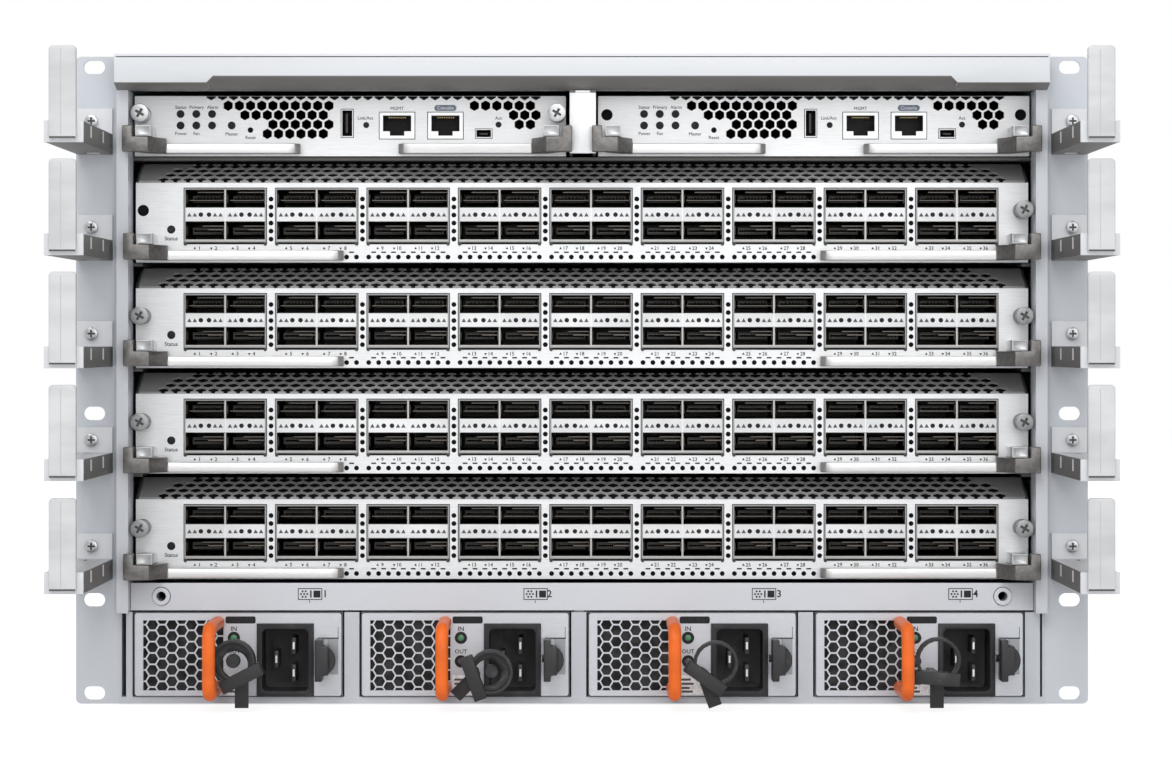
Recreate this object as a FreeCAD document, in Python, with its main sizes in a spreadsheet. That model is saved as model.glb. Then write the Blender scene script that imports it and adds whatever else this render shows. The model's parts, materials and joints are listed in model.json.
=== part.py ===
"""Modular chassis switch for a 19-inch rack, seven units high.

Frame: millimetres, +X to the right seen from the front, +Y to the back, +Z up.
The origin is under the middle of the front: Z = 0 is the underside of the base pan,
Y = 0 is the front face of the rack ears.

A sub-part that repeats is modelled once, as a form, and each copy is a compound of
that form with a place of its own, bound to the same sizes.
"""
import FreeCAD, Part
import math
import os
import re
import Sketcher

SIZES = {
    # case
    "case_width": 442,
    "lid_rise": 16.5,
    "rear_bay": 184,
    "case_sheet": 1.5,
    "fit_gap": 0.3,
    "strip_width": 5.5,
    "strip_front": 8,
    "strip_depth": 20,
    "strip_gap": 1.6,
    "pan_lip": 3.2,
    "pan_lip_depth": 8,
    # top fascia
    "fascia_front": 18,
    "fascia_rise": 2.5,
    "fascia_middle_rise": 3.1,
    "fascia_middle_inset": 44,
    "fascia_middle_slant": 3,
    "fascia_hem_depth": 10,
    "fascia_hem_height": 7,
    # rack ears
    "ear_reach": 20.3,
    "ear_sheet": 2,
    "ear_return": 30,
    "ear_corner": 2.5,
    "slot_inset": 8.75,
    "slot_length": 10.2,
    "slot_height": 6.4,
    "slot_lowest": 5.02,
    "slot_second": 49.47,
    "slot_third": 138.37,
    "slot_top_gap": 5.03,
    # cable arms and their fingers
    "arm_count": 5,
    "arm_rise": 16.4,
    "arm_gap": 2.7,
    "arm_margin": 0.7,
    "arm_reach": 102,
    "arm_sheet": 1.2,
    "arm_drop": 6,
    "arm_height": 9.8,
    "arm_flange_rise": 6.1,
    "arm_flange_sheet": 1.5,
    "arm_slot_width": 7,
    "arm_slot_length": 12,
    "arm_slot_back": 5,
    "collar_sheet": 2,
    "collar_margin": 0.4,
    "finger_outset": 2.2,
    "finger_inset": 2.4,
    "finger_height": 41.8,
    "finger_lift": 1.4,
    "finger_thickness": 3.5,
    "finger_corner": 2,
    # power shelf with its wrist-strap jacks
    "shelf_gap": 0.9,
    "shelf_front_height": 13,
    "shelf_short": 22,
    "jack_inset": 14.6,
    "jack_rise": 6.7,
    "jack_body": 8.4,
    "jack_bore": 4.6,
    "jack_proud": 1,
    "jack_length": 12,
    # card cage
    "rail_sheet": 1.5,
    "rail_height": 4,
    "rail_reach": 8,
    "rail_setback": 16,
    "rail_short": 16,
    "post_half": 6.25,
    "post_centre": 0.35,
    "post_sheet": 1.5,
    "bulkhead_gap": 12,
    "bulkhead_sheet": 4,
    # line cards
    "card_count": 4,
    "card_side": 7,
    "card_left": 23.4,
    "card_right": 9.95,
    "card_shelf_gap": 1.3,
    "card_gap": 3.2,
    "card_height": 38.2,
    "card_setback": 10,
    "card_sheet": 1.2,
    "card_length": 440,
    "bevel_run": 18.5,
    "bevel_rise": 9.2,
    "cage_count": 9,
    "cage_gap": 4.8,
    "cage_height": 25.6,
    "cage_drop": 2.8,
    "cage_back": 10,
    "cage_proud": 0.8,
    "cage_wall": 0.5,
    "cage_septum": 0.85,
    "port_height": 8.6,
    "port_depth": 50,
    "port_band": 6.7,
    "circuit_board": 1.6,
    "circuit_margin": 1.5,
    "circuit_setback": 4,
    "connector_width": 60,
    "connector_height": 22,
    "connector_depth": 14,
    "connector_spacing": 150,
    # ejector levers and the brackets over them
    "lever_outset": 0.6,
    "lever_forward": 22.2,
    "lever_rise": 0.9,
    "hub_half_width": 2.4,
    "hub_half_depth": 3,
    "hub_height": 12.4,
    "shoulder_height": 7.1,
    "shoulder_reach": 11,
    "shoulder_slope": 7,
    "shoulder_back": 17,
    "bar_height": 4.7,
    "bar_front": 13,
    "bar_depth": 6,
    "bar_tip": 2.5,
    "card_lever": 103,
    "module_lever": 83,
    "bracket_inset": 3.4,
    "bracket_width": 7,
    "bracket_rise": 8.3,
    "bracket_height": 4.8,
    "bracket_front": 24,
    # management modules
    "module_gap": 0.4,
    "module_height": 28.8,
    "module_inner": 7.75,
    "module_overhang": 0.55,
    "module_short": 10,
    "module_hook": 6,
    "comb_spacing": 5.37,
    "comb_row": 4.5,
    "comb_hole": 4.4,
    "comb_first": 44.8,
    "comb_top": 24.2,
    "usb_left": 99.1,
    "usb_width": 5.7,
    "usb_bottom": 9.1,
    "usb_height": 13.3,
    "network_left": 117.4,
    "network_spacing": 23.2,
    "network_width": 16.9,
    "network_bottom": 8.3,
    "network_height": 12.7,
    "network_wall": 1.2,
    "console_left": 163.5,
    "console_width": 7.8,
    "console_bottom": 8.7,
    "console_height": 4.3,
    "socket_wall": 0.6,
    "socket_depth": 14,
    "socket_hollow": 11,
    "module_circuit": 7,
    # power supplies
    "supply_count": 4,
    "supply_inset": 7.5,
    "supply_side": 9.2,
    "supply_gap": 8.9,
    "supply_height": 40.1,
    "supply_front": 1,
    "supply_length": 300,
    "divider_width": 7.1,
    "end_divider": 3,
    "divider_sheet": 1.5,
    "divider_length": 300,
    "vent_left": 3.6,
    "vent_right": 15,
    "vent_side": 1.4,
    "vent_rim": 1.45,
    "vent_web": 0.677,
    "vent_edge": 2.4,
    "vent_depth": 8,
    "vent_sheet": 1.2,
    "vent_columns": 8,
    "vent_rows": 6,
    "inlet_right": 40.7,
    "inlet_width": 27.1,
    "inlet_top_gap": 5.3,
    "inlet_foot_gap": 0.1,
    "inlet_rim": 2.55,
    "inlet_proud": 2,
    "inlet_depth": 30,
    "inlet_hollow": 20,
    "inlet_corner": 2.5,
    "inlet_step": 1.5,
    "blade_wide": 8,
    "blade_thick": 2,
    "blade_long": 15,
    "blade_spacing": 13,
    "blade_right": 3.7,
    "blade_left": 4.6,
    "grip_gap": 21.4,
    "grip_rod": 6,
    "grip_margin": 1.7,
    "grip_reach": 48,
    "grip_bend": 9,
    "latch_gap": 1.4,
    "latch_width": 3.4,
    "latch_height": 19.7,
    "latch_centre": 18.1,
    "latch_front": 12,
    "latch_finger": 3,
    "latch_travel": 2.4,
    "latch_stem": 3,
    "latch_stem_width": 1.6,
    "latch_depth": 14,
    "tie_gap": 4,
    "tie_centre": 12,
    "tie_reach": 30,
    "tie_stem": 3.6,
    "tie_radius": 10.4,
    "tie_strap": 1.4,
    "tie_band": 7.6,
    "tie_rise": 8.6,
    "tie_folds": 20,
    "tie_head_width": 21,
    "tie_head_height": 6,
    "tie_head_depth": 9,
    "tie_tail_width": 6.4,
    # fan trays
    "tray_count": 3,
    "tray_side": 10,
    "tray_top_gap": 2,
    "tray_sheet": 1.5,
    "tray_depth": 60,
    "fan_margin": 15.7,
    "fan_spacing": 140,
    "fan_slot": 14,
    "fan_slot_spacing": 19,
    "fan_slot_count": 6,
    "fan_hub": 46,
    "fan_hub_depth": 25,
    "tray_grip_span": 90,
    "tray_grip_reach": 30,
    "tray_grip_bar": 8,
    "tray_grip_bend": 8,
}

# Sizes and places that follow from the ones above.
DERIVED = {
    "supply_bottom": "pan_lip + fit_gap",
    "power_bay_top": "supply_bottom + supply_height",
    "shelf_front_bottom": "power_bay_top + shelf_gap",
    "shelf_front_top": "shelf_front_bottom + shelf_front_height",
    "card_lowest": "shelf_front_top + card_shelf_gap",
    "card_spacing": "card_height + bevel_rise + card_gap",
    "module_bottom": "card_lowest + card_count * card_spacing + module_gap",
    "post_bottom": "module_bottom + fit_gap",
    "strip_top": "module_bottom + module_height + strip_gap",
    "case_height": "strip_top + lid_rise",
    "fascia_edge": "strip_top + fascia_rise",
    "fascia_middle_half": "case_width / 2 - fascia_middle_inset",
    "bulkhead_setback": "card_setback + card_length + bulkhead_gap",
    "case_depth": "bulkhead_setback + bulkhead_sheet + rear_bay",
    "rail_length": "bulkhead_setback - rail_setback - rail_short",
    "shelf_depth": "bulkhead_setback - shelf_short",
    "shelf_half": "case_width / 2 - strip_width - fit_gap",
    "jack_spread": "shelf_half - jack_inset",
    "jack_height": "shelf_front_bottom + jack_rise",
    "ear_span": "case_width + 2 * ear_reach",
    "slot_spacing": "ear_span - 2 * slot_inset",
    "slot_highest": "case_height - slot_top_gap",
    "arm_lowest_screw": "card_lowest + arm_rise",
    "arm_inner": "case_width / 2 + arm_gap",
    "arm_outer": "ear_span / 2 - arm_margin",
    "finger_width": "arm_outer - arm_inner - finger_inset - finger_outset",
    "card_width": "case_width - 2 * card_side",
    "cage_first": "card_left - card_width / 2",
    "cage_spacing": "(card_width - card_left - card_right) / cage_count",
    "cage_width": "cage_spacing - cage_gap",
    "cage_depth": "port_depth + cage_back",
    "module_width": "card_width / 2 + module_overhang - module_inner",
    "module_length": "card_length - module_short",
    "supply_spacing": "(case_width - supply_side) / supply_count",
    "supply_width": "supply_spacing - supply_gap",
    "supply_first": "supply_inset - case_width / 2",
    "inlet_left": "supply_width - inlet_right",
    "inlet_height": "supply_height - inlet_top_gap - inlet_foot_gap",
    "inlet_mouth_width": "inlet_width - 2 * inlet_rim",
    "inlet_mouth_height": "inlet_height - 2 * inlet_rim",
    "vent_width": "inlet_left - vent_left - vent_right",
    "vent_column": "(vent_width - 2 * vent_side) / vent_columns",
    "vent_spacing": "(supply_height - 2 * vent_edge - 2 * vent_rim) / vent_rows",
    "vent_reach": "sqrt(vent_column ^ 2 + vent_spacing ^ 2 / 4)",
    "vent_hole": "min(vent_reach, vent_spacing) - vent_web",
    "grip_left": "inlet_left - grip_gap",
    "grip_span": "supply_height - 2 * grip_margin",
    "latch_left": "inlet_left + inlet_width + latch_gap",
    "tie_left": "inlet_left - tie_gap",
    "tray_bottom": "pan_lip + fit_gap",
    "tray_spacing": "(case_width - tray_side) / tray_count",
    "tray_width": "tray_spacing - 2 * fit_gap",
    "tray_height": "case_height - tray_bottom - tray_top_gap",
    "fan_opening": "tray_width - 2 * fan_margin",
}

# Honeycomb rows of a management module: row below the top one, first column, holes.
MODULE_COMB = (
    (0, 0, 10),
    (0, 22, 6),
    (1, 1.5, 8),
    (1, 25.5, 3),
    (2, 4, 6),
    (2, 26, 2),
    (3, 3.5, 6),
)

# How each cable tie hangs, in degrees clockwise from straight up as seen from the front:
# where its ring points, where its tail runs, and the length of the tail.
TIES = ((-27, 180, 14), (70, 225, 12), (35, 160, 14), (4, 180, 14))

doc = FreeCAD.newDocument("ModularChassisSwitch")
sheet = doc.addObject("Spreadsheet::Sheet", "Sizes")
for row, (alias, number) in enumerate(SIZES.items(), start=1):
    sheet.set(f"A{row}", alias.replace("_", " "))
    sheet.set(f"B{row}", str(number))
    sheet.setAlias(f"B{row}", alias)
doc.recompute()

nodes = []


def cell(match):
    """What a name in a formula stands for: the sheet's cell, or the formula of a derived size."""
    name = match[0]
    if name in DERIVED:
        return f"({bound(DERIVED[name])})"
    return f"Sizes.{name}" if name in SIZES else name


def bound(text):
    """A formula in terms of the sheet's cells."""
    return re.sub(r"[a-z_]+[a-z]", cell, str(text))


def size(alias):
    """The number in the sheet's cell of that name."""
    return float(sheet.get(alias))


def place(piece, x="0", y="0", z="0"):
    """Binds where a piece stands."""
    for axis, formula in (("x", x), ("y", y), ("z", z)):
        piece.setExpression(f"Placement.Base.{axis}", bound(formula))
    return piece


def box(label, x, y, z):
    """A box between two formulas on each axis."""
    piece = doc.addObject("Part::Box", label)
    place(piece, x[0], y[0], z[0])
    for side, (low, high) in (("Length", x), ("Width", y), ("Height", z)):
        piece.setExpression(side, bound(f"({high}) - ({low})"))
    return piece


def cylinder(label, diameter, x, y, z):
    """A cylinder along Y, from y[0] to y[1]."""
    piece = doc.addObject("Part::Cylinder", label)
    piece.setExpression("Radius", bound(f"({diameter}) / 2"))
    piece.setExpression("Height", bound(f"({y[1]}) - ({y[0]})"))
    piece.Placement.Rotation = FreeCAD.Rotation(FreeCAD.Vector(1, 0, 0), -90)
    return place(piece, x, y[0], z)


def cut(label, base, *tools):
    """The base less each of the tools."""
    for number, tool in enumerate(tools, start=1):
        piece = doc.addObject("Part::Cut", label if number == len(tools) else f"{label}_cut_{number}")
        piece.Base = base
        piece.Tool = tool
        base = piece
    return base


def fuse(label, *pieces):
    """One solid made of pieces that overlap or touch."""
    piece = doc.addObject("Part::MultiFuse", label)
    piece.Shapes = list(pieces)
    piece.Refine = True
    return piece


def node(label, *pieces, x="0", y="0", z="0"):
    """A sub-part that is written out: a group of solids with a place of its own."""
    group = doc.addObject("Part::Compound", label)
    group.Links = list(pieces)
    nodes.append(place(group, x, y, z))
    return group


def origin_feature(body, role):
    """One of the body's own origin planes or axes."""
    return next(part for part in body.Origin.OriginFeatures if part.Role == role)


def add_outline(sketch, corners):
    """A closed line of straight edges, each corner bound to a pair of formulas."""
    count = len(corners)
    first = len(sketch.Geometry)
    turns = [2 * math.pi * number / count for number in range(count)]
    ring = [FreeCAD.Vector(math.cos(turn), math.sin(turn), 0) for turn in turns]
    for number in range(count):
        sketch.addGeometry(Part.LineSegment(ring[number], ring[(number + 1) % count]))
    for number in range(count):
        following = first + (number + 1) % count
        sketch.addConstraint(Sketcher.Constraint("Coincident", first + number, 2, following, 1))
    for number, corner in enumerate(corners):
        for kind, formula, start in zip(("DistanceX", "DistanceY"), corner, ring[number]):
            constraint = Sketcher.Constraint(kind, first + number, 1, start)
            index = sketch.addConstraint(constraint)
            sketch.setExpression(f"Constraints[{index}]", bound(formula))


def add_circle(sketch, x, z, diameter):
    """A circle bound to formulas for its middle and its diameter."""
    circle = sketch.addGeometry(Part.Circle(FreeCAD.Vector(1, 1, 0), FreeCAD.Vector(0, 0, 1), 1))
    limits = (
        Sketcher.Constraint("DistanceX", circle, 3, 1),
        Sketcher.Constraint("DistanceY", circle, 3, 1),
        Sketcher.Constraint("Diameter", circle, 2),
    )
    for constraint, formula in zip(limits, (x, z, diameter)):
        index = sketch.addConstraint(constraint)
        sketch.setExpression(f"Constraints[{index}]", bound(formula))


def new_sketch(body, label, role):
    """An empty sketch on one of the body's origin planes."""
    sketch = body.newObject("Sketcher::SketchObject", label)
    sketch.AttachmentSupport = [(origin_feature(body, role), "")]
    sketch.MapMode = "FlatFace"
    return sketch


def padded(label, role, corners, length):
    """A body padded from one outline: both ways off YZ_Plane, forwards off XZ_Plane, up off XY_Plane."""
    body = doc.addObject("PartDesign::Body", label)
    sketch = new_sketch(body, f"{label}_outline", role)
    add_outline(sketch, corners)
    pad = body.newObject("PartDesign::Pad", f"{label}_pad")
    pad.Profile = sketch
    pad.SideType = "Symmetric" if role == "YZ_Plane" else "One side"
    pad.setExpression("Length", bound(length))
    return body


def pocket(body, label, outlines=(), circles=(), role="XZ_Plane"):
    """Cuts outlines and circles right through the body, both ways from their plane."""
    sketch = new_sketch(body, f"{label}_outline", role)
    for corners in outlines:
        add_outline(sketch, corners)
    for circle in circles:
        add_circle(sketch, *circle)
    feature = body.newObject("PartDesign::Pocket", label)
    feature.Profile = sketch
    feature.Type = "ThroughAll"
    feature.SideType = "Symmetric"
    return feature


def repeat(body, feature, axis, count, pitch, second=None):
    """Repeats a feature in a row, or in rows when second holds another axis, count and pitch."""
    pattern = body.newObject("PartDesign::LinearPattern", f"{feature.Label}_row")
    pattern.Originals = [feature]
    pattern.Direction = (origin_feature(body, axis), [""])
    pattern.setExpression("Occurrences", bound(count))
    pattern.setExpression("Length", bound(f"(({count}) - 1) * ({pitch})"))
    if second:
        axis, count, pitch = second
        pattern.Direction2 = (origin_feature(body, axis), [""])
        pattern.setExpression("Occurrences2", bound(count))
        pattern.setExpression("Length2", bound(f"(({count}) - 1) * ({pitch})"))
    body.Tip = pattern
    return pattern


def rectangle(x, z):
    """The corners of a rectangle between two formulas each way."""
    return ((x[0], z[0]), (x[1], z[0]), (x[1], z[1]), (x[0], z[1]))


def hexagon(x, z, across, upright=True):
    """The corners of a hexagon about (x, z); upright has its points above and below."""
    half = f"({across}) / 2"
    short = f"({across}) / (2 * sqrt(3))"
    long = f"({across}) / sqrt(3)"
    ring = ((half, short), ("0", long), (f"-{half}", short))
    ring += ((f"-{half}", f"-{short}"), ("0", f"-{long}"), (half, f"-{short}"))
    if not upright:
        ring = tuple((b, a) for a, b in reversed(ring))
    return tuple((f"({x}) + ({a})", f"({z}) + ({b})") for a, b in ring)


def round_edges(body, label, radius, chosen):
    """Fillets those edges of the body that the test picks."""
    doc.recompute()
    solid = body.Tip
    names = [f"Edge{number}" for number, edge in enumerate(solid.Shape.Edges, start=1) if chosen(edge)]
    fillet = body.newObject("PartDesign::Fillet", label)
    fillet.Base = (solid, names)
    fillet.setExpression("Radius", bound(radius))
    return fillet


def runs_along(edge, axis):
    """Whether a straight edge is parallel to the axis X, Y or Z."""
    if len(edge.Vertexes) != 2:
        return False
    step = edge.Vertexes[1].Point - edge.Vertexes[0].Point
    return abs(abs(step["XYZ".index(axis)]) - step.Length) < 1e-6


# ---------------------------------------------------------------- case


def side_walls():
    """The two sheet sides, each with a boxed strip down its front edge."""
    walls = []
    for side, sign in (("left", "-1"), ("right", "1")):
        outer = f"{sign} * case_width / 2"
        inner = f"{sign} * (case_width / 2 - case_sheet)"
        hem = f"{sign} * (case_width / 2 - strip_width)"
        wall = padded(
            f"side_wall_{side}_sheet",
            "XY_Plane",
            ((outer, "0"), (outer, "case_depth"), (inner, "case_depth"), (inner, "0")),
            "case_height - case_sheet - pan_lip",
        )
        strip = padded(
            f"side_wall_{side}_strip",
            "XY_Plane",
            (
                (outer, "-strip_front"),
                (outer, "strip_depth - strip_front"),
                (hem, "strip_depth - strip_front"),
                (hem, "-strip_front"),
            ),
            "strip_top - power_bay_top",
        )
        place(wall, z="pan_lip")
        place(strip, z="power_bay_top")
        walls.append(fuse(f"side_wall_{side}", wall, strip))
    node("side_walls", *walls)


def top_cover():
    """The flat lid behind the fascia."""
    lid = box(
        "lid_sheet",
        ("-case_width / 2", "case_width / 2"),
        ("0", "case_depth"),
        ("case_height - case_sheet", "case_height"),
    )
    node("top_cover", lid)


def base_pan():
    """The floor with its front lip, and the channels that part the power supplies."""
    profile = (
        ("0", "0"),
        ("case_depth", "0"),
        ("case_depth", "pan_lip"),
        ("case_depth - pan_lip_depth", "pan_lip"),
        ("case_depth - pan_lip_depth", "case_sheet"),
        ("pan_lip_depth", "case_sheet"),
        ("pan_lip_depth", "pan_lip"),
        ("0", "pan_lip"),
    )
    pieces = [padded("floor_sheet", "YZ_Plane", profile, "case_width")]
    for number in range(int(size("supply_count")) + 1):
        width = "divider_width" if number else "end_divider"
        gap = "(supply_spacing - supply_width - divider_width) / 2"
        right = f"supply_first + {number} * supply_spacing - {gap}"
        left = f"{right} - {width}"
        channel = (
            (left, "0"),
            (right, "0"),
            (right, "divider_length"),
            (f"{right} - divider_sheet / 2", "divider_length"),
            (f"{right} - divider_sheet / 2", "divider_sheet"),
            (f"{left} + divider_sheet / 2", "divider_sheet"),
            (f"{left} + divider_sheet / 2", "divider_length"),
            (left, "divider_length"),
        )
        piece = padded(f"divider_{number + 1}", "XY_Plane", channel, "power_bay_top - pan_lip")
        pieces.append(place(piece, z="pan_lip"))
    node("base_pan", *pieces)


def top_fascia():
    """The folded front beam, whose lower edge rises between its ends."""
    front = "-fascia_front"
    hem_back = "-fascia_front + fascia_hem_depth"
    back = "0"
    shelf = "strip_top + case_sheet"
    lintel = "fascia_edge + fascia_hem_height - case_sheet"
    profile = (
        (back, "case_height"),
        (front, "case_height"),
        (front, "fascia_edge"),
        (hem_back, "strip_top"),
        (back, "strip_top"),
        (back, shelf),
        (f"{hem_back} + case_sheet", shelf),
        (f"{hem_back} + case_sheet", lintel),
        (f"{front} + case_sheet", lintel),
        (f"{front} + case_sheet", "case_height - case_sheet"),
        (back, "case_height - case_sheet"),
    )
    beam = padded("fascia_beam", "YZ_Plane", profile, "case_width")
    wedge = padded(
        "fascia_rise_side",
        "YZ_Plane",
        (
            (f"{front} - 1", "fascia_edge + fascia_middle_rise"),
            (f"{front}", "fascia_edge + fascia_middle_rise"),
            (hem_back, "strip_top"),
            (hem_back, "strip_top - 1"),
            (f"{front} - 1", "strip_top - 1"),
        ),
        "2 * fascia_middle_half",
    )
    top = "fascia_edge + fascia_middle_rise"
    mouth = padded(
        "fascia_rise_front",
        "XZ_Plane",
        (
            ("-fascia_middle_half", "strip_top - 1"),
            ("fascia_middle_half", "strip_top - 1"),
            ("fascia_middle_half", "fascia_edge"),
            ("fascia_middle_half - fascia_middle_slant", top),
            ("fascia_middle_slant - fascia_middle_half", top),
            ("-fascia_middle_half", "fascia_edge"),
        ),
        "fascia_front + 1",
    )
    rise = doc.addObject("Part::Common", "fascia_rise")
    rise.Base = wedge
    rise.Tool = mouth
    node("top_fascia", cut("fascia", beam, rise))


def rack_ears():
    """The two slotted flanges, each a folded angle against its side wall."""
    ears = []
    for side, sign in (("left", "-1"), ("right", "1")):
        inner = f"{sign} * case_width / 2"
        outer = f"{sign} * ear_span / 2"
        fold = f"{sign} * (case_width / 2 + case_sheet)"
        ear = padded(
            f"ear_{side}",
            "XY_Plane",
            (
                (inner, "0"),
                (outer, "0"),
                (outer, "ear_sheet"),
                (fold, "ear_sheet"),
                (fold, "ear_return"),
                (inner, "ear_return"),
            ),
            "case_height",
        )
        edge = size("case_width") / 2 + size("ear_reach")
        round_edges(
            ear,
            f"ear_{side}_corners",
            "ear_corner",
            lambda e: runs_along(e, "Y") and abs(abs(e.Vertexes[0].X) - edge) < 1e-6,
        )
        middle = f"{sign} * slot_spacing / 2"
        flat = "(slot_length - slot_height) / 2"
        heights = ("slot_lowest", "slot_second", "slot_third", "slot_highest")
        across = (f"{middle} - {flat}", f"{middle} + {flat}")
        holes = [rectangle(across, (f"{z} - slot_height / 2", f"{z} + slot_height / 2")) for z in heights]
        ends = [(x, z, "slot_height") for z in heights for x in across]
        pocket(ear, f"ear_{side}_slots", holes)
        pocket(ear, f"ear_{side}_slot_ends", circles=ends)
        ears.append(ear)
    node("rack_ears", *ears)


# ---------------------------------------------------------------- cable arms


def arm_form(side, sign):
    """One cable arm about its screw's height: flange, open channel and front collar."""
    inner = f"{sign} * arm_inner"
    outer = f"{sign} * arm_outer"
    web = f"{sign} * (arm_inner + arm_sheet)"
    top = "-arm_drop"
    bottom = "-arm_drop - arm_height"
    channel = padded(
        f"arm_{side}_channel",
        "XZ_Plane",
        (
            (outer, top),
            (inner, top),
            (inner, bottom),
            (outer, bottom),
            (outer, f"{bottom} + arm_sheet"),
            (web, f"{bottom} + arm_sheet"),
            (web, f"{top} - arm_sheet"),
            (outer, f"{top} - arm_sheet"),
        ),
        "arm_reach",
    )
    middle = f"{sign} * (arm_inner + arm_outer) / 2"
    back = "-arm_slot_back"
    pocket(
        channel,
        f"arm_{side}_relief",
        [
            rectangle(
                (f"{middle} - arm_slot_width / 2", f"{middle} + arm_slot_width / 2"),
                (f"{back} - arm_slot_length", back),
            )
        ],
        role="XY_Plane",
    )
    flange = padded(
        f"arm_{side}_flange",
        "XZ_Plane",
        rectangle((inner, outer), (top, "arm_flange_rise")),
        "arm_flange_sheet",
    )
    collar = padded(
        f"arm_{side}_collar",
        "XZ_Plane",
        rectangle(
            (f"{sign} * (arm_inner - collar_margin)", f"{sign} * (arm_outer + collar_margin)"),
            (bottom, top),
        ),
        "collar_sheet",
    )
    place(collar, y="-arm_reach")
    return fuse(f"arm_{side}", channel, flange, collar)


def finger_form(side, sign):
    """The plastic finger that stands up in front of an arm's collar."""
    low = f"{sign} * (arm_inner + finger_inset)"
    high = f"{sign} * (arm_inner + finger_inset + finger_width)"
    foot = "-arm_drop - arm_height + finger_lift"
    finger = padded(
        f"finger_{side}",
        "XZ_Plane",
        rectangle((low, high), (foot, f"{foot} + finger_height")),
        "finger_thickness",
    )
    middle = size("finger_height") / 2 - size("arm_drop") - size("arm_height")
    round_edges(
        finger,
        f"finger_{side}_corners",
        "finger_corner",
        lambda e: runs_along(e, "Y") and e.Vertexes[0].Z > middle,
    )
    return finger


def cable_arms():
    """Five arms on each ear, with their fingers."""
    arms = []
    fingers = []
    for side, sign in (("left", "-1"), ("right", "1")):
        arm = arm_form(side, sign)
        finger = finger_form(side, sign)
        for number in range(int(size("arm_count"))):
            height = f"arm_lowest_screw + {number} * card_spacing"
            arm_copy = doc.addObject("Part::Compound", f"arm_{side}_{number + 1}")
            arm_copy.Links = [arm]
            arms.append(place(arm_copy, z=height))
            finger_copy = doc.addObject("Part::Compound", f"finger_{side}_{number + 1}")
            finger_copy.Links = [finger]
            fingers.append(place(finger_copy, y="-arm_reach - collar_sheet", z=height))
    node("cable_arms", *arms)
    node("cable_fingers", *fingers)


# ---------------------------------------------------------------- card cage


def power_shelf():
    """The shelf over the power bay, with its front flange and the two wrist-strap jacks."""
    profile = (
        ("0", "shelf_front_bottom"),
        ("shelf_depth", "shelf_front_bottom"),
        ("shelf_depth", "shelf_front_bottom + case_sheet"),
        ("case_sheet", "shelf_front_bottom + case_sheet"),
        ("case_sheet", "shelf_front_top"),
        ("0", "shelf_front_top"),
    )
    shelf = padded("shelf_sheet", "YZ_Plane", profile, "2 * shelf_half")
    holes = [(f"{sign} * jack_spread", "jack_height", "jack_body + 2 * fit_gap") for sign in ("-1", "1")]
    pocket(shelf, "shelf_jack_holes", circles=holes)
    pieces = [shelf]
    for side, sign in (("left", "-1"), ("right", "1")):
        spot = (f"{sign} * jack_spread", ("-jack_proud", "jack_length"), "jack_height")
        barrel = cylinder(f"jack_{side}_barrel", "jack_body", *spot)
        bore = cylinder(f"jack_{side}_bore", "jack_bore", *spot)
        pieces.append(cut(f"jack_{side}", barrel, bore))
    node("power_shelf", *pieces)


def card_cage():
    """Slide rails for every card and module, the post between the modules, and the bulkhead."""
    pieces = []
    levels = [f"card_lowest + {number} * card_spacing" for number in range(int(size("card_count")))]
    front = "rail_setback"
    back = "rail_setback + rail_length"
    for number, level in enumerate(levels + ["module_bottom"], start=1):
        top = f"{level} - fit_gap"
        for side, sign in (("left", "-1"), ("right", "1")):
            wall = f"{sign} * (case_width / 2 - case_sheet)"
            reach = f"{sign} * (case_width / 2 - case_sheet - rail_reach)"
            web = f"{sign} * (case_width / 2 - case_sheet - rail_sheet)"
            rail = padded(
                f"rail_{side}_{number}",
                "XZ_Plane",
                (
                    (wall, f"{top} - rail_height"),
                    (wall, top),
                    (reach, top),
                    (reach, f"{top} - rail_sheet"),
                    (web, f"{top} - rail_sheet"),
                    (web, f"{top} - rail_height"),
                ),
                "rail_length",
            )
            pieces.append(place(rail, y=back))
    low = "post_centre - post_half"
    high = "post_centre + post_half"
    post = padded(
        "module_post",
        "XY_Plane",
        (
            (low, "-strip_front"),
            (high, "-strip_front"),
            (high, back),
            (f"{high} - post_sheet", back),
            (f"{high} - post_sheet", "post_sheet - strip_front"),
            (f"{low} + post_sheet", "post_sheet - strip_front"),
            (f"{low} + post_sheet", back),
            (low, back),
        ),
        "strip_top - post_bottom",
    )
    pieces.append(place(post, z="post_bottom"))
    bottom = "module_bottom - fit_gap"
    half = "case_width / 2 - case_sheet - rail_reach - fit_gap"
    shelf = box("module_shelf", (f"-({half})", half), (front, back), (f"{bottom} - rail_sheet", bottom))
    pieces.append(shelf)
    wide = "case_width / 2 - case_sheet"
    pieces.append(
        box(
            "bulkhead",
            (f"-({wide})", wide),
            ("bulkhead_setback", "bulkhead_setback + bulkhead_sheet"),
            ("shelf_front_bottom", "case_height - case_sheet"),
        )
    )
    node("card_cage", *pieces)


# ---------------------------------------------------------------- line cards


def bracket(label, x, sign):
    """The small riveted bracket over one lever's shoulder, standing out from a face."""
    inner = f"({x}) + ({sign}) * bracket_inset"
    return box(
        label,
        (inner, f"{inner} + bracket_width") if sign == "1" else (f"{inner} - bracket_width", inner),
        ("card_setback - bracket_front", "card_setback + card_sheet"),
        ("bracket_rise", "bracket_rise + bracket_height"),
    )


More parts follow.
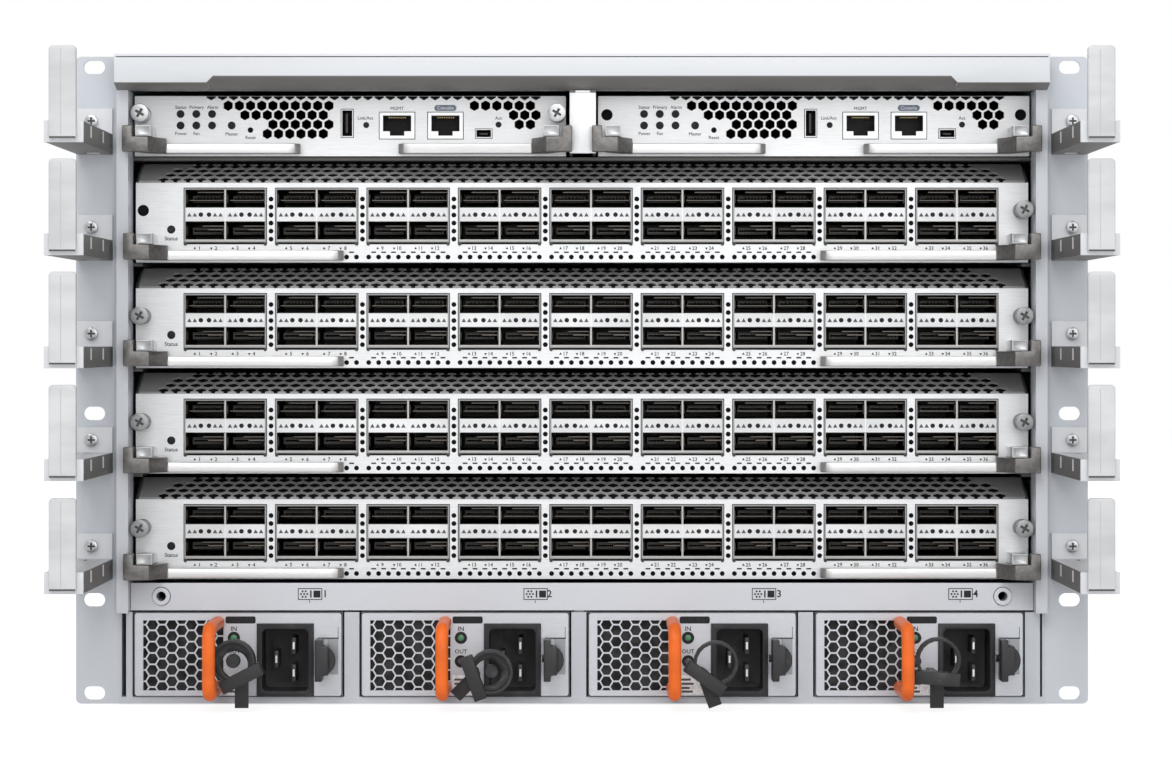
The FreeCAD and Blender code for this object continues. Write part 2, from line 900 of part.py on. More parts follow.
def card_tray_form():
    """A line card's sheet: floor, front face with its port windows, and the bevel above."""
    front = "card_setback"
    face = "card_height"
    slope = "bevel_rise / bevel_run"
    profile = (
        (front, "0"),
        (f"{front} + card_length", "0"),
        (f"{front} + card_length", "card_sheet"),
        (f"{front} + card_sheet", "card_sheet"),
        (f"{front} + card_sheet", f"{face} - card_sheet * (1 - {slope})"),
        (f"{front} + bevel_run", f"{face} + bevel_rise - card_sheet"),
        (f"{front} + bevel_run", f"{face} + bevel_rise"),
        (front, face),
    )
    tray = padded("card_tray_sheet", "YZ_Plane", profile, "card_width")
    left = "cage_first - fit_gap"
    top = "card_height - cage_drop + fit_gap"
    window = rectangle(
        (left, f"{left} + cage_width + 2 * fit_gap"), (f"{top} - cage_height - 2 * fit_gap", top)
    )
    repeat(tray, pocket(tray, "card_window", [window]), "X_Axis", "cage_count", "cage_spacing")
    left_bracket = bracket("card_bracket_left", "-card_width / 2", "1")
    right_bracket = bracket("card_bracket_right", "card_width / 2", "-1")
    return fuse("card_tray_form", tray, left_bracket, right_bracket)


def cage_form():
    """One block of two by two transceiver ports, open at the front."""
    front = "card_setback - cage_proud"
    shell = box(
        "cage_shell", ("0", "cage_width"), (front, f"{front} + cage_depth"), ("0", "cage_height")
    )
    width = "(cage_width - 2 * cage_wall - cage_septum) / 2"
    ports = []
    for column in range(2):
        left = f"cage_wall + {column} * ({width} + cage_septum)"
        for row in range(2):
            top = f"cage_height - cage_wall - {row} * (port_height + port_band)"
            ports.append(
                box(
                    f"cage_port_{column + 1}_{row + 1}",
                    (left, f"{left} + {width}"),
                    (front, f"{front} + port_depth"),
                    (f"{top} - port_height", top),
                )
            )
    return cut("cage_form", shell, *ports)


def card_board_form():
    """A line card's circuit board with its port cages and rear connectors."""
    bottom = "card_height - cage_drop - cage_height"
    half = "card_width / 2 - circuit_margin"
    front = "card_setback + circuit_setback"
    back = "card_setback + card_length"
    pieces = [
        box("card_circuit", (f"-({half})", half), (front, back), (f"{bottom} - circuit_board", bottom))
    ]
    cage = cage_form()
    for number in range(int(size("cage_count"))):
        copy = doc.addObject("Part::Compound", f"cage_{number + 1}")
        copy.Links = [cage]
        pieces.append(place(copy, x=f"cage_first + {number} * cage_spacing", z=bottom))
    for number in (-1, 0, 1):
        middle = f"{number} * connector_spacing"
        pieces.append(
            box(
                f"card_connector_{number + 2}",
                (f"{middle} - connector_width / 2", f"{middle} + connector_width / 2"),
                (f"{back} - connector_depth", back),
                (bottom, f"{bottom} + connector_height"),
            )
        )
    return pieces


def line_cards():
    """Four line cards, one above the other."""
    tray = card_tray_form()
    board = card_board_form()
    for number in range(int(size("card_count"))):
        level = f"card_lowest + {size('card_count') - 1 - number:g} * card_spacing"
        node(f"line_card_{number + 1}_tray", tray, z=level)
        node(f"line_card_{number + 1}_board", *board, z=level)


def lever_form(label, reach, sign):
    """An ejector lever about its pivot: upright hub, sloped shoulder and long flat bar."""
    hub = box(
        f"{label}_hub",
        ("-hub_half_width", "hub_half_width"),
        ("-hub_half_depth", "hub_half_depth"),
        ("0", "hub_height"),
    )
    corner = "hub_half_width + shoulder_reach"
    slope_start = f"{sign} * ({corner} - shoulder_slope / 2)"
    slope_end = f"{sign} * ({corner} + shoulder_slope / 2)"
    hub_side = f"{sign} * hub_half_width"
    shoulder = padded(
        f"{label}_shoulder",
        "XY_Plane",
        (
            (hub_side, "-hub_half_depth"),
            (slope_start, "-hub_half_depth"),
            (slope_end, "bar_front"),
            (slope_end, "shoulder_back"),
            (slope_start, "shoulder_back"),
            (hub_side, "hub_half_depth"),
        ),
        "shoulder_height",
    )
    bar_back = "bar_front + bar_depth"
    bar = padded(
        f"{label}_bar",
        "XY_Plane",
        (
            (hub_side, "-hub_half_depth"),
            (slope_start, "-hub_half_depth"),
            (slope_end, "bar_front"),
            (f"{sign} * ({reach} - bar_tip)", "bar_front"),
            (f"{sign} * ({reach})", "bar_front + bar_tip"),
            (f"{sign} * ({reach})", bar_back),
            (slope_start, bar_back),
            (hub_side, "hub_half_depth"),
        ),
        "bar_height",
    )
    return fuse(f"{label}_form", hub, shoulder, bar)


def levers():
    """Two ejector levers on each card and each module, hinged at the outer corners."""
    forward = "card_setback - lever_forward"
    forms = {}
    for kind in ("card", "module"):
        for side, sign in (("left", "1"), ("right", "-1")):
            forms[kind, side] = lever_form(f"{kind}_lever_{side}", f"{kind}_lever - hub_half_width", sign)
    for number in range(int(size("card_count"))):
        level = f"card_lowest + {size('card_count') - 1 - number:g} * card_spacing + lever_rise"
        for side, sign in (("left", "-1"), ("right", "1")):
            edge = f"{sign} * (card_width / 2 + lever_outset)"
            node(f"line_card_{number + 1}_lever_{side}", forms["card", side], x=edge, y=forward, z=level)
    edges = {
        (1, "left"): "-module_inner - module_width - lever_outset",
        (1, "right"): "-module_inner + lever_outset",
        (2, "left"): "module_inner - lever_outset",
        (2, "right"): "module_inner + module_width + lever_outset",
    }
    level = "module_bottom + lever_rise"
    for (number, side), edge in edges.items():
        label = f"management_module_{number}_lever_{side}"
        node(label, forms["module", side], x=edge, y=forward, z=level)


# ---------------------------------------------------------------- management modules


def module_sockets():
    """The module's sockets: label, left edge, bottom, width, height and wall of each."""
    second = "network_left + network_spacing"
    return (
        ("usb", "usb_left", "usb_bottom", "usb_width", "usb_height", "socket_wall"),
        ("network_1", "network_left", "network_bottom", "network_width", "network_height", "network_wall"),
        ("network_2", second, "network_bottom", "network_width", "network_height", "network_wall"),
        ("console", "console_left", "console_bottom", "console_width", "console_height", "socket_wall"),
    )


def module_tray_form():
    """A management module's sheet: floor, front face with combs and socket windows, top hook."""
    front = "card_setback"
    profile = (
        (front, "0"),
        (f"{front} + module_length", "0"),
        (f"{front} + module_length", "card_sheet"),
        (f"{front} + card_sheet", "card_sheet"),
        (f"{front} + card_sheet", "module_height - card_sheet"),
        (f"{front} + module_hook", "module_height - card_sheet"),
        (f"{front} + module_hook", "module_height"),
        (front, "module_height"),
    )
    tray = padded("module_tray_sheet", "YZ_Plane", profile, "module_width")
    edge = "-module_width / 2"
    windows = []
    for _, left, bottom, width, height, _ in module_sockets():
        across = (f"{edge} + {left} - fit_gap", f"{edge} + {left} + {width} + fit_gap")
        windows.append(rectangle(across, (f"{bottom} - fit_gap", f"{bottom} + {height} + fit_gap")))
    pocket(tray, "module_windows", windows)
    for number, (row, first, count) in enumerate(MODULE_COMB, start=1):
        middle = (f"{edge} + comb_first + {first} * comb_spacing", f"comb_top - {row} * comb_row")
        hole = pocket(tray, f"module_comb_{number}", [hexagon(*middle, "comb_hole")])
        repeat(tray, hole, "X_Axis", count, "comb_spacing")
    left_bracket = bracket("module_bracket_left", edge, "1")
    right_bracket = bracket("module_bracket_right", "module_width / 2", "-1")
    return fuse("module_tray_form", tray, left_bracket, right_bracket)


def module_board_form():
    """A management module's circuit board with its socket shells."""
    half = "module_width / 2 - circuit_margin"
    front = "card_setback + circuit_setback"
    back = "card_setback + module_length"
    top = "module_circuit"
    pieces = [
        box("module_board", (f"-({half})", half), (front, back), (f"{top} - circuit_board", top))
    ]
    edge = "-module_width / 2"
    for label, left, bottom, width, height, wall in module_sockets():
        low = f"{edge} + {left}"
        shell = box(
            f"{label}_shell",
            (low, f"{low} + {width}"),
            ("card_setback", "card_setback + socket_depth"),
            (bottom, f"{bottom} + {height}"),
        )
        hollow = box(
            f"{label}_hollow",
            (f"{low} + {wall}", f"{low} + {width} - {wall}"),
            ("card_setback", "card_setback + socket_hollow"),
            (f"{bottom} + {wall}", f"{bottom} + {height} - {wall}"),
        )
        foot = box(
            f"{label}_foot",
            (f"{low} + {wall}", f"{low} + {width} - {wall}"),
            ("card_setback + circuit_setback", "card_setback + socket_depth"),
            (top, bottom),
        )
        pieces.append(cut(f"{label}_socket", fuse(f"{label}_body", shell, foot), hollow))
    return pieces


def management_modules():
    """Two management modules side by side under the fascia."""
    tray = module_tray_form()
    board = module_board_form()
    for number, sign in ((1, "-1"), (2, "1")):
        middle = f"{sign} * (module_inner + module_width / 2)"
        node(f"management_module_{number}_tray", tray, x=middle, z="module_bottom")
        node(f"management_module_{number}_board", *board, x=middle, z="module_bottom")


# ---------------------------------------------------------------- power supplies


def supply_case_form():
    """A power supply's case, recessed behind its vent and bored for the inlet and the latch."""
    front = "-supply_front"
    case = box(
        "supply_block",
        ("0", "supply_width"),
        (front, f"{front} + supply_length"),
        ("0", "supply_height"),
    )
    recess = box(
        "supply_recess",
        ("vent_left", "vent_left + vent_width"),
        (front, f"{front} + vent_depth"),
        ("vent_edge", "supply_height - vent_edge"),
    )
    inlet_top = "supply_height - inlet_top_gap"
    well = box(
        "supply_inlet_well",
        ("inlet_left + inlet_step - fit_gap", "inlet_left + inlet_width - inlet_step + fit_gap"),
        (front, f"{front} + inlet_depth + fit_gap"),
        (f"{inlet_top} - inlet_height + inlet_step - fit_gap", f"{inlet_top} - inlet_step + fit_gap"),
    )
    slot = box(
        "supply_latch_slot",
        (
            "latch_left + latch_width - latch_stem_width - latch_travel - fit_gap",
            "latch_left + latch_width + fit_gap",
        ),
        (front, f"{front} + latch_depth + fit_gap"),
        ("latch_centre - latch_stem / 2 - fit_gap", "latch_centre + latch_stem / 2 + fit_gap"),
    )
    return cut("supply_case_form", case, recess, well, slot)


def supply_vent_form():
    """The honeycomb plate in the recess."""
    left = "vent_left + fit_gap"
    right = "vent_left + vent_width - fit_gap"
    low = "vent_edge + fit_gap"
    high = "supply_height - vent_edge - fit_gap"
    plate = padded("vent_plate", "XZ_Plane", rectangle((left, right), (low, high)), "vent_sheet")
    place(plate, y="vent_sheet - supply_front")
    field_width = "(vent_columns - 1) * vent_column"
    field_height = "(vent_rows - 0.5) * vent_spacing"
    x = f"vent_left + (vent_width - {field_width}) / 2"
    z = f"(supply_height - {field_height}) / 2"
    pair = [
        hexagon(x, z, "vent_hole", upright=False),
        hexagon(f"{x} + vent_column", f"{z} + vent_spacing / 2", "vent_hole", upright=False),
    ]
    holes = pocket(plate, "vent_pair", pair)
    rows = ("Z_Axis", "vent_rows", "vent_spacing")
    repeat(plate, holes, "X_Axis", "vent_columns / 2", "2 * vent_column", rows)
    return plate


def supply_inlet_form():
    """The mains inlet: flanged shell, a mouth with two cut corners, and three flat blades."""
    front = "-supply_front - inlet_proud"
    top = "supply_height - inlet_top_gap"
    low = f"{top} - inlet_height"
    right = "inlet_left + inlet_width"
    flange = box("inlet_flange", ("inlet_left", right), (front, "-supply_front"), (low, top))
    neck = box(
        "inlet_neck",
        ("inlet_left + inlet_step", f"{right} - inlet_step"),
        ("-supply_front", "inlet_depth - supply_front"),
        (f"{low} + inlet_step", f"{top} - inlet_step"),
    )
    middle = ("inlet_left + inlet_width / 2", f"({top}) - inlet_height / 2")
    mouth_left = f"{middle[0]} - inlet_mouth_width / 2"
    mouth_right = f"{middle[0]} + inlet_mouth_width / 2"
    mouth_low = f"{middle[1]} - inlet_mouth_height / 2"
    mouth_high = f"{middle[1]} + inlet_mouth_height / 2"
    mouth = padded(
        "inlet_mouth",
        "XZ_Plane",
        (
            (mouth_left, mouth_low),
            (mouth_right, mouth_low),
            (mouth_right, mouth_high),
            (mouth_left, mouth_high),
        ),
        "inlet_hollow",
    )
    round_edges(mouth, "inlet_mouth_corners", "inlet_corner", lambda e: runs_along(e, "Y"))
    place(mouth, y=f"{front} + inlet_hollow")
    shell = cut("inlet_shell", fuse("inlet_blank", flange, neck), mouth)
    blades = []
    back = f"{front} + inlet_hollow + 1"
    step = "blade_spacing / 2"
    spots = (("blade_right", step), ("blade_right", f"-{step}"), ("-blade_left", "0"))
    for number, (dx, dz) in enumerate(spots, start=1):
        x = f"{middle[0]} + ({dx})"
        z = f"{middle[1]} + ({dz})"
        blades.append(
            box(
                f"inlet_blade_{number}",
                (f"{x} - blade_thick / 2", f"{x} + blade_thick / 2"),
                (f"{back} - 1 - blade_long", back),
                (f"{z} - blade_wide / 2", f"{z} + blade_wide / 2"),
            )
        )
    return fuse("inlet_form", shell, *blades)


def supply_grip_form():
    """The coloured grip: an upright loop of round-edged bar in front of the case."""
    front = "-supply_front"
    reach = "-supply_front - grip_reach"
    low = "(supply_height - grip_span) / 2"
    high = "(supply_height + grip_span) / 2"
    grip = padded(
        "grip",
        "YZ_Plane",
        (
            (front, low),
            (reach, low),
            (reach, high),
            (front, high),
            (front, f"{high} - grip_rod"),
            (f"{reach} + grip_rod", f"{high} - grip_rod"),
            (f"{reach} + grip_rod", f"{low} + grip_rod"),
            (front, f"{low} + grip_rod"),
        ),
        "grip_rod",
    )
    front_of_bar = -size("supply_front") - size("grip_reach")
    inside = front_of_bar + size("grip_rod")
    round_edges(
        grip,
        "grip_outer_bends",
        "grip_bend",
        lambda e: runs_along(e, "X") and abs(e.Vertexes[0].Y - front_of_bar) < 1e-6,
    )
    round_edges(
        grip,
        "grip_inner_bends",
        "grip_bend - grip_rod / 2",
        lambda e: runs_along(e, "X") and abs(e.Vertexes[0].Y - inside) < 1e-6,
    )
    return place(grip, x="grip_left + grip_rod / 2")


def supply_latch_form():
    """The thumb latch beside the inlet, with the stem that slides in the case."""
    front = "-supply_front - inlet_proud - fit_gap"
    thumb = box(
        "latch_thumb",
        ("latch_left", "latch_left + latch_width"),
        (f"{front} - latch_front", front),
        ("latch_centre - latch_height / 2", "latch_centre + latch_height / 2"),
    )
    stem = box(
        "latch_stem_bar",
        ("latch_left + latch_width - latch_stem_width", "latch_left + latch_width"),
        (front, "-supply_front + latch_depth"),
        ("latch_centre - latch_stem / 2", "latch_centre + latch_stem / 2"),
    )
    pull_half = "(latch_height / 2 - latch_finger)"
    pull = box(
        "latch_pull",
        ("latch_left + latch_width", "latch_left + latch_width + latch_finger"),
        (f"{front} - latch_front", f"{front} - latch_finger"),
        (f"latch_centre - {pull_half}", f"latch_centre + {pull_half}"),
    )
    return fuse("latch_form", thumb, stem, pull)


def hoop(radius, middle, along):
    """An upright prism about the middle, with as many equal sides as the strap has folds."""
    folds = int(size("tie_folds"))
    turns = [2 * math.pi * number / folds for number in range(folds + 1)]
    spokes = [FreeCAD.Vector(math.cos(turn), 0, math.sin(turn)) * radius for turn in turns]
    return Part.Face(Part.makePolygon([middle + spoke for spoke in spokes])).extrude(along)


def tie_form(number, ring_turn, tail_turn, tail_length):
    """A releasable cable tie: stem from the case, long head, strap bent in a ring, and a tail."""
    front = FreeCAD.Vector(0, -1, 0)
    near = -size("supply_front") - size("tie_reach")
    depth = size("tie_head_depth")
    width = size("tie_head_width")
    height = size("tie_head_height")
    stem = size("tie_stem")
    reach = size("tie_reach") - size("fit_gap")
    rod = Part.makeBox(stem, reach, stem, FreeCAD.Vector(-stem / 2, near, -stem / 2))
    head = Part.makeBox(width, depth, height, FreeCAD.Vector(-width / 2, near - depth, -height / 2))
    band = size("tie_band")
    radius = size("tie_radius")
    middle = FreeCAD.Vector(0, near - (depth - band) / 2, size("tie_rise"))
    ring = hoop(radius, middle, band * front)
    ring = ring.cut(hoop(radius - size("tie_strap"), middle, band * front))
    tie = ring.fuse([head, rod])
    tie.rotate(FreeCAD.Vector(), FreeCAD.Vector(0, 1, 0), ring_turn)
    tail_width = size("tie_tail_width")
    strap = size("tie_strap")
    corner = FreeCAD.Vector(-tail_width / 2, near - (depth + strap) / 2, 0)
    tail = Part.makeBox(tail_width, strap, tail_length, corner)
    tail.rotate(FreeCAD.Vector(), FreeCAD.Vector(0, 1, 0), tail_turn)
    piece = doc.addObject("Part::Feature", f"tie_form_{number}")
    piece.Shape = tie.fuse(tail).removeSplitter()
    return place(piece, x="tie_left", z="tie_centre")


def power_supplies():
    """Four power supplies side by side in the bottom bay."""
    case = supply_case_form()
    vent = supply_vent_form()
    inlet = supply_inlet_form()
    grip = supply_grip_form()
    latch = supply_latch_form()
    for number in range(int(size("supply_count"))):
        spot = {"x": f"supply_first + {number} * supply_spacing", "z": "supply_bottom"}
        label = f"power_supply_{number + 1}"
        node(f"{label}_case", case, **spot)
        node(f"{label}_vent", vent, **spot)
        node(f"{label}_inlet", inlet, **spot)
        node(f"{label}_grip", grip, **spot)
        node(f"{label}_latch", latch, **spot)
        node(f"{label}_tie", tie_form(number + 1, *TIES[number]), **spot)


# ---------------------------------------------------------------- fan trays


def fan_tray_form():
    """A fan tray: slotted rear plate with folded sides, two fan hubs and a grip."""
    half = "tray_width / 2"
    back = "case_depth"
    plate = padded(
        "tray_plate",
        "XY_Plane",
        (
            (f"-{half}", f"{back} - tray_depth"),
            (f"-{half}", back),
            (half, back),
            (half, f"{back} - tray_depth"),
            (f"{half} - tray_sheet", f"{back} - tray_depth"),
            (f"{half} - tray_sheet", f"{back} - tray_sheet"),
            (f"tray_sheet - {half}", f"{back} - tray_sheet"),
            (f"tray_sheet - {half}", f"{back} - tray_depth"),
        ),
        "tray_height",
    )
    low = "(tray_height - fan_spacing) / 2 - (fan_slot_count - 1) / 2 * fan_slot_spacing"
    slots = [
        rectangle(
            ("-fan_opening / 2", "fan_opening / 2"),
            (f"{low} + {fan} * fan_spacing - fan_slot / 2", f"{low} + {fan} * fan_spacing + fan_slot / 2"),
        )
        for fan in range(2)
    ]
    repeat(plate, pocket(plate, "fan_slots", slots), "Z_Axis", "fan_slot_count", "fan_slot_spacing")
    pieces = [plate]
    for fan in range(2):
        height = f"tray_height / 2 + {fan - 0.5} * fan_spacing"
        pieces.append(
            cylinder(
                f"fan_hub_{fan + 1}",
                "fan_hub",
                "0",
                (f"{back} - tray_sheet - fan_hub_depth", f"{back} - tray_sheet"),
                height,
            )
        )
    grip = padded(
        "tray_grip",
        "YZ_Plane",
        (
            (back, "-tray_grip_span / 2"),
            (f"{back} + tray_grip_reach", "-tray_grip_span / 2"),
            (f"{back} + tray_grip_reach", "tray_grip_span / 2"),
            (back, "tray_grip_span / 2"),
            (back, "tray_grip_span / 2 - tray_grip_bar"),
            (f"{back} + tray_grip_reach - tray_grip_bar", "tray_grip_span / 2 - tray_grip_bar"),
            (f"{back} + tray_grip_reach - tray_grip_bar", "tray_grip_bar - tray_grip_span / 2"),
            (back, "tray_grip_bar - tray_grip_span / 2"),
        ),
        "tray_grip_bar",
    )
    depths = ("card_setback", "card_length", "bulkhead_gap", "bulkhead_sheet", "rear_bay")
    outer = sum(size(depth) for depth in depths) + size("tray_grip_reach")
    round_edges(
        grip,
        "tray_grip_bends",
        "tray_grip_bend",
        lambda e: runs_along(e, "X") and abs(e.Vertexes[0].Y - outer) < 1e-6,
    )
    place(grip, x="tray_width / 2 - 2 * tray_grip_bar", z="tray_height / 2")
    return fuse("fan_tray_form", *pieces, grip)


def fan_trays():
    """Three fan trays side by side across the back."""
    form = fan_tray_form()
    for number in range(int(size("tray_count"))):
        middle = f"({number} - (tray_count - 1) / 2) * tray_spacing"
        node(f"fan_tray_{number + 1}", form, x=middle, z="tray_bottom")


side_walls()
top_cover()
base_pan()
top_fascia()
rack_ears()
cable_arms()
power_shelf()
card_cage()
line_cards()
levers()
management_modules()
power_supplies()
fan_trays()
doc.recompute()

for piece in doc.Objects:
    if {"Invalid", "Error"} & set(piece.State):
        raise RuntimeError(f"{piece.Label} failed: {piece.State}")
for piece in nodes:
    if piece.Shape.isNull() or not piece.Shape.isValid():
        raise RuntimeError(f"{piece.Label} has no valid shape")

os.makedirs("parts", exist_ok=True)
for piece in nodes:
    piece.Shape.exportStep(f"parts/{piece.Label}.step")
print(len(nodes), "sub-parts written")
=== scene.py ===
"""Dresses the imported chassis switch: finishes for its sheet metal, and the small parts on it."""

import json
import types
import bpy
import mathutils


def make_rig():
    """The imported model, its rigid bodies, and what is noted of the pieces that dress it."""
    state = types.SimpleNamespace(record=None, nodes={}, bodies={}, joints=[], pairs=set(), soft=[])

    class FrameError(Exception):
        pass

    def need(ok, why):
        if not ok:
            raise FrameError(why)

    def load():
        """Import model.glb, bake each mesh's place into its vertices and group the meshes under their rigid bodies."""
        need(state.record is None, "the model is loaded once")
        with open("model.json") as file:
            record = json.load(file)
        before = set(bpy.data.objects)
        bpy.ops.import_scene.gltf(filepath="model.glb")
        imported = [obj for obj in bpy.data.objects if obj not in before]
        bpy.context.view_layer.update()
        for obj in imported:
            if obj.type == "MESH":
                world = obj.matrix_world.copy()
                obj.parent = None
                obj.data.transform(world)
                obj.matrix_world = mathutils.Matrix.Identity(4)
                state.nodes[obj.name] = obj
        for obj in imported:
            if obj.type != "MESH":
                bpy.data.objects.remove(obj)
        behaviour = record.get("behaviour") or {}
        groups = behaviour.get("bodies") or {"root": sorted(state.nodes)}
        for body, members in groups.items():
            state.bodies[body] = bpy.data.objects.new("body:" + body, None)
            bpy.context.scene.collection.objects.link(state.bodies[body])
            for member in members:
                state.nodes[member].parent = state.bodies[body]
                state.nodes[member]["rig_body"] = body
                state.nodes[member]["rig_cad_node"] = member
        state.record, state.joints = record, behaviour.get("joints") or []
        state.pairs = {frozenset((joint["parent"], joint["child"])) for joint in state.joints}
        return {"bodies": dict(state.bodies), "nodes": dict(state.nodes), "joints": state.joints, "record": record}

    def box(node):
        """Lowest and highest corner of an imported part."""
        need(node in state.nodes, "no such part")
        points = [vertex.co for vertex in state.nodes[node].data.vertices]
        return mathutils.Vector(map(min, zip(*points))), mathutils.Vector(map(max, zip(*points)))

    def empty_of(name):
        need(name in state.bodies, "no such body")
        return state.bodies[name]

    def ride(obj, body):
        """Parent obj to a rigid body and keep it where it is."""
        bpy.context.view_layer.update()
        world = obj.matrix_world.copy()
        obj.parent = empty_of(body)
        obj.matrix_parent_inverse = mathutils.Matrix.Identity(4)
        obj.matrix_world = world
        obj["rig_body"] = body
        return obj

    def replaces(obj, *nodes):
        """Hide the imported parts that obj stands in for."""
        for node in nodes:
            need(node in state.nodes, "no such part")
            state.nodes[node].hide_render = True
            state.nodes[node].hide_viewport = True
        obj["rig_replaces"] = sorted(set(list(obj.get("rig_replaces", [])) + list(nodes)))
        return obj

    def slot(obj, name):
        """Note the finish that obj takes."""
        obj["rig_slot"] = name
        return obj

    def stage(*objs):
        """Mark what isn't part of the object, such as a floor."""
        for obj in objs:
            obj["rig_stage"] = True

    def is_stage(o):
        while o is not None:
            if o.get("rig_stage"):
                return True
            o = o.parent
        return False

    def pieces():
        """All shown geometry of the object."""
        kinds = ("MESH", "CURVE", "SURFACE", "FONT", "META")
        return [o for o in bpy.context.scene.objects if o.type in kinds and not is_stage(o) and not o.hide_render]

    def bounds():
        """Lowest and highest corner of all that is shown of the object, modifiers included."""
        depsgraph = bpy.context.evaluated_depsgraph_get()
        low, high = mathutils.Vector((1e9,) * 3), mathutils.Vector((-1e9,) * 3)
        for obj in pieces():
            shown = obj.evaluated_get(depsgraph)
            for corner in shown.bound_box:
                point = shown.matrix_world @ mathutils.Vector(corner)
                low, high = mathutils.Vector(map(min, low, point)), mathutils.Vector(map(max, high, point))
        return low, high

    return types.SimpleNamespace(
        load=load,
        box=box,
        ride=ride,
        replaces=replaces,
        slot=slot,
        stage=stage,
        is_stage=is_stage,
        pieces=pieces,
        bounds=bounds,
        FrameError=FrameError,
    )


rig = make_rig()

bl_info = {
    "name": "Modular chassis switch",
    "version": (1, 0, 0),
    "blender": (4, 5, 0),
    "location": "View3D > Sidebar > Chassis",
    "description": "Finishes and small parts of a rack-mounted modular chassis switch",
    "category": "Object",
}

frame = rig.load()
CAD_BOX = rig.bounds()

import json
import math

import bpy
from bpy.props import FloatProperty, FloatVectorProperty, PointerProperty
from mathutils import Matrix, Vector

MM = 0.001
CARDS = [f"line_card_{number}" for number in range(1, 5)]
MODULES = [f"management_module_{number}" for number in (1, 2)]
SUPPLIES = [f"power_supply_{number}" for number in range(1, 5)]
FAN_TRAYS = [f"fan_tray_{number}" for number in range(1, 4)]
looks = {}


def length(name, description, default):
    """A size that a user may change, in metres."""
    return FloatProperty(name=name, description=description, default=default, min=0, unit="LENGTH")


def colour(name, description, default):
    """A colour that a user may change."""
    settings = {"min": 0, "max": 1, "subtype": "COLOR"}
    return FloatVectorProperty(name=name, description=description, default=default, **settings)


class ChassisSizes(bpy.types.PropertyGroup):
    """Sizes of the small parts."""

    edge_round: length("Edge rounding", "Rounding of moulded and cast edges", 0.0005)
    bevel_hole: length("Bevel hole", "Width of a hole in the cards' perforated bevels", 0.0049)
    bevel_pitch: length("Bevel pitch", "Distance between holes in the cards' bevels", 0.006)
    dot_hole: length("Vent dot", "Width of a round vent hole in a card's face", 0.0024)
    screw_head: length("Captive screw", "Width of a captive screw's head", 0.0086)
    screw_reach: length("Screw reach", "How far a captive screw stands out", 0.016)
    lamp: length("Status lamp", "Width of a module's status lamp", 0.0038)
    print_depth: length("Print depth", "Thickness of printed signs", 0.00006)
    digit: length("Port digit", "Height of a port number", 0.0018)


class ChassisColours(bpy.types.PropertyGroup):
    """Colours of the finishes."""

    case: colour("Case paint", "Light blue-grey powder coat", (0.50, 0.53, 0.58))
    strip: colour("Strip paint", "Pale grey of the front strips", (0.62, 0.64, 0.68))
    fascia: colour("Fascia paint", "Pale silver of the top fascia", (0.72, 0.74, 0.77))
    ear: colour("Ear paint", "Blue-grey of the rack ears", (0.60, 0.63, 0.675))
    arm: colour("Arm paint", "Light grey of the cable arms", (0.52, 0.53, 0.55))
    # Painted shade: this tone darkens the arms' inner walls and undersides.
    arm_inside: colour("Arm inside", "Brown-grey inside the cable arms", (0.12, 0.115, 0.11))
    finger: colour("Finger plastic", "Light grey of the cable fingers", (0.61, 0.62, 0.63))
    face: colour("Card face", "Bright plated steel of cards and modules", (0.80, 0.81, 0.82))
    # Also laid on as painted shade inside the cards' trays and the modules.
    bevel: colour("Bevel paint", "Dark grey of the perforated bevels", (0.38, 0.38, 0.385))
    cage: colour("Port cage", "Plated steel of the port cages", (0.50, 0.49, 0.47))
    # Painted shade: this dark tone darkens the ports' inner walls as a colour.
    port: colour("Port inside", "Dark metal inside the ports", (0.070, 0.068, 0.066))
    board: colour("Circuit board", "Green solder mask", (0.01, 0.09, 0.035))
    # Painted shade: this dark tone is laid on the levers' hubs and shoulders and, lighter, on the bars' rolled tips.
    lever: colour("Lever metal", "Dark nickel of the ejector levers", (0.19, 0.182, 0.176))
    lever_bar: colour("Lever bar", "Bright face of the levers' bars", (0.84, 0.84, 0.84))
    supply: colour("Supply face", "Plated steel of the power supplies", (0.60, 0.62, 0.66))
    black: colour("Black plastic", "Moulded black of inlets, latches and ties", (0.018, 0.018, 0.020))
    grip: colour("Grip coating", "Orange of the pull grips", (0.84, 0.155, 0.022))
    band: colour("Light band", "White light guide between the ports", (0.78, 0.79, 0.80))
    # Also the tone of the painted shade lines in joints and gaps.
    ink: colour("Ink", "Dark print", (0.025, 0.025, 0.028))


# ---------------------------------------------------------------- materials


class Wire:
    """One output inside a material; arithmetic on it adds Math nodes."""

    def __init__(self, look, socket):
        self.look = look
        self.socket = socket

    def math(self, operation, *values):
        return self.look.add("ShaderNodeMath", {"operation": operation}, *values)

    def __add__(self, other):
        return self.math("ADD", self, other)

    def __sub__(self, other):
        return self.math("SUBTRACT", self, other)

    def __rsub__(self, other):
        return self.math("SUBTRACT", other, self)

    def __mul__(self, other):
        return self.math("MULTIPLY", self, other)

    __radd__ = __add__
    __rmul__ = __mul__

    def rise(self, low, high):
        """Goes from 0 to 1 between two values."""
        settings = {"interpolation_type": "SMOOTHSTEP"}
        return self.look.add("ShaderNodeMapRange", settings, self, low, high, 0.0, 1.0)


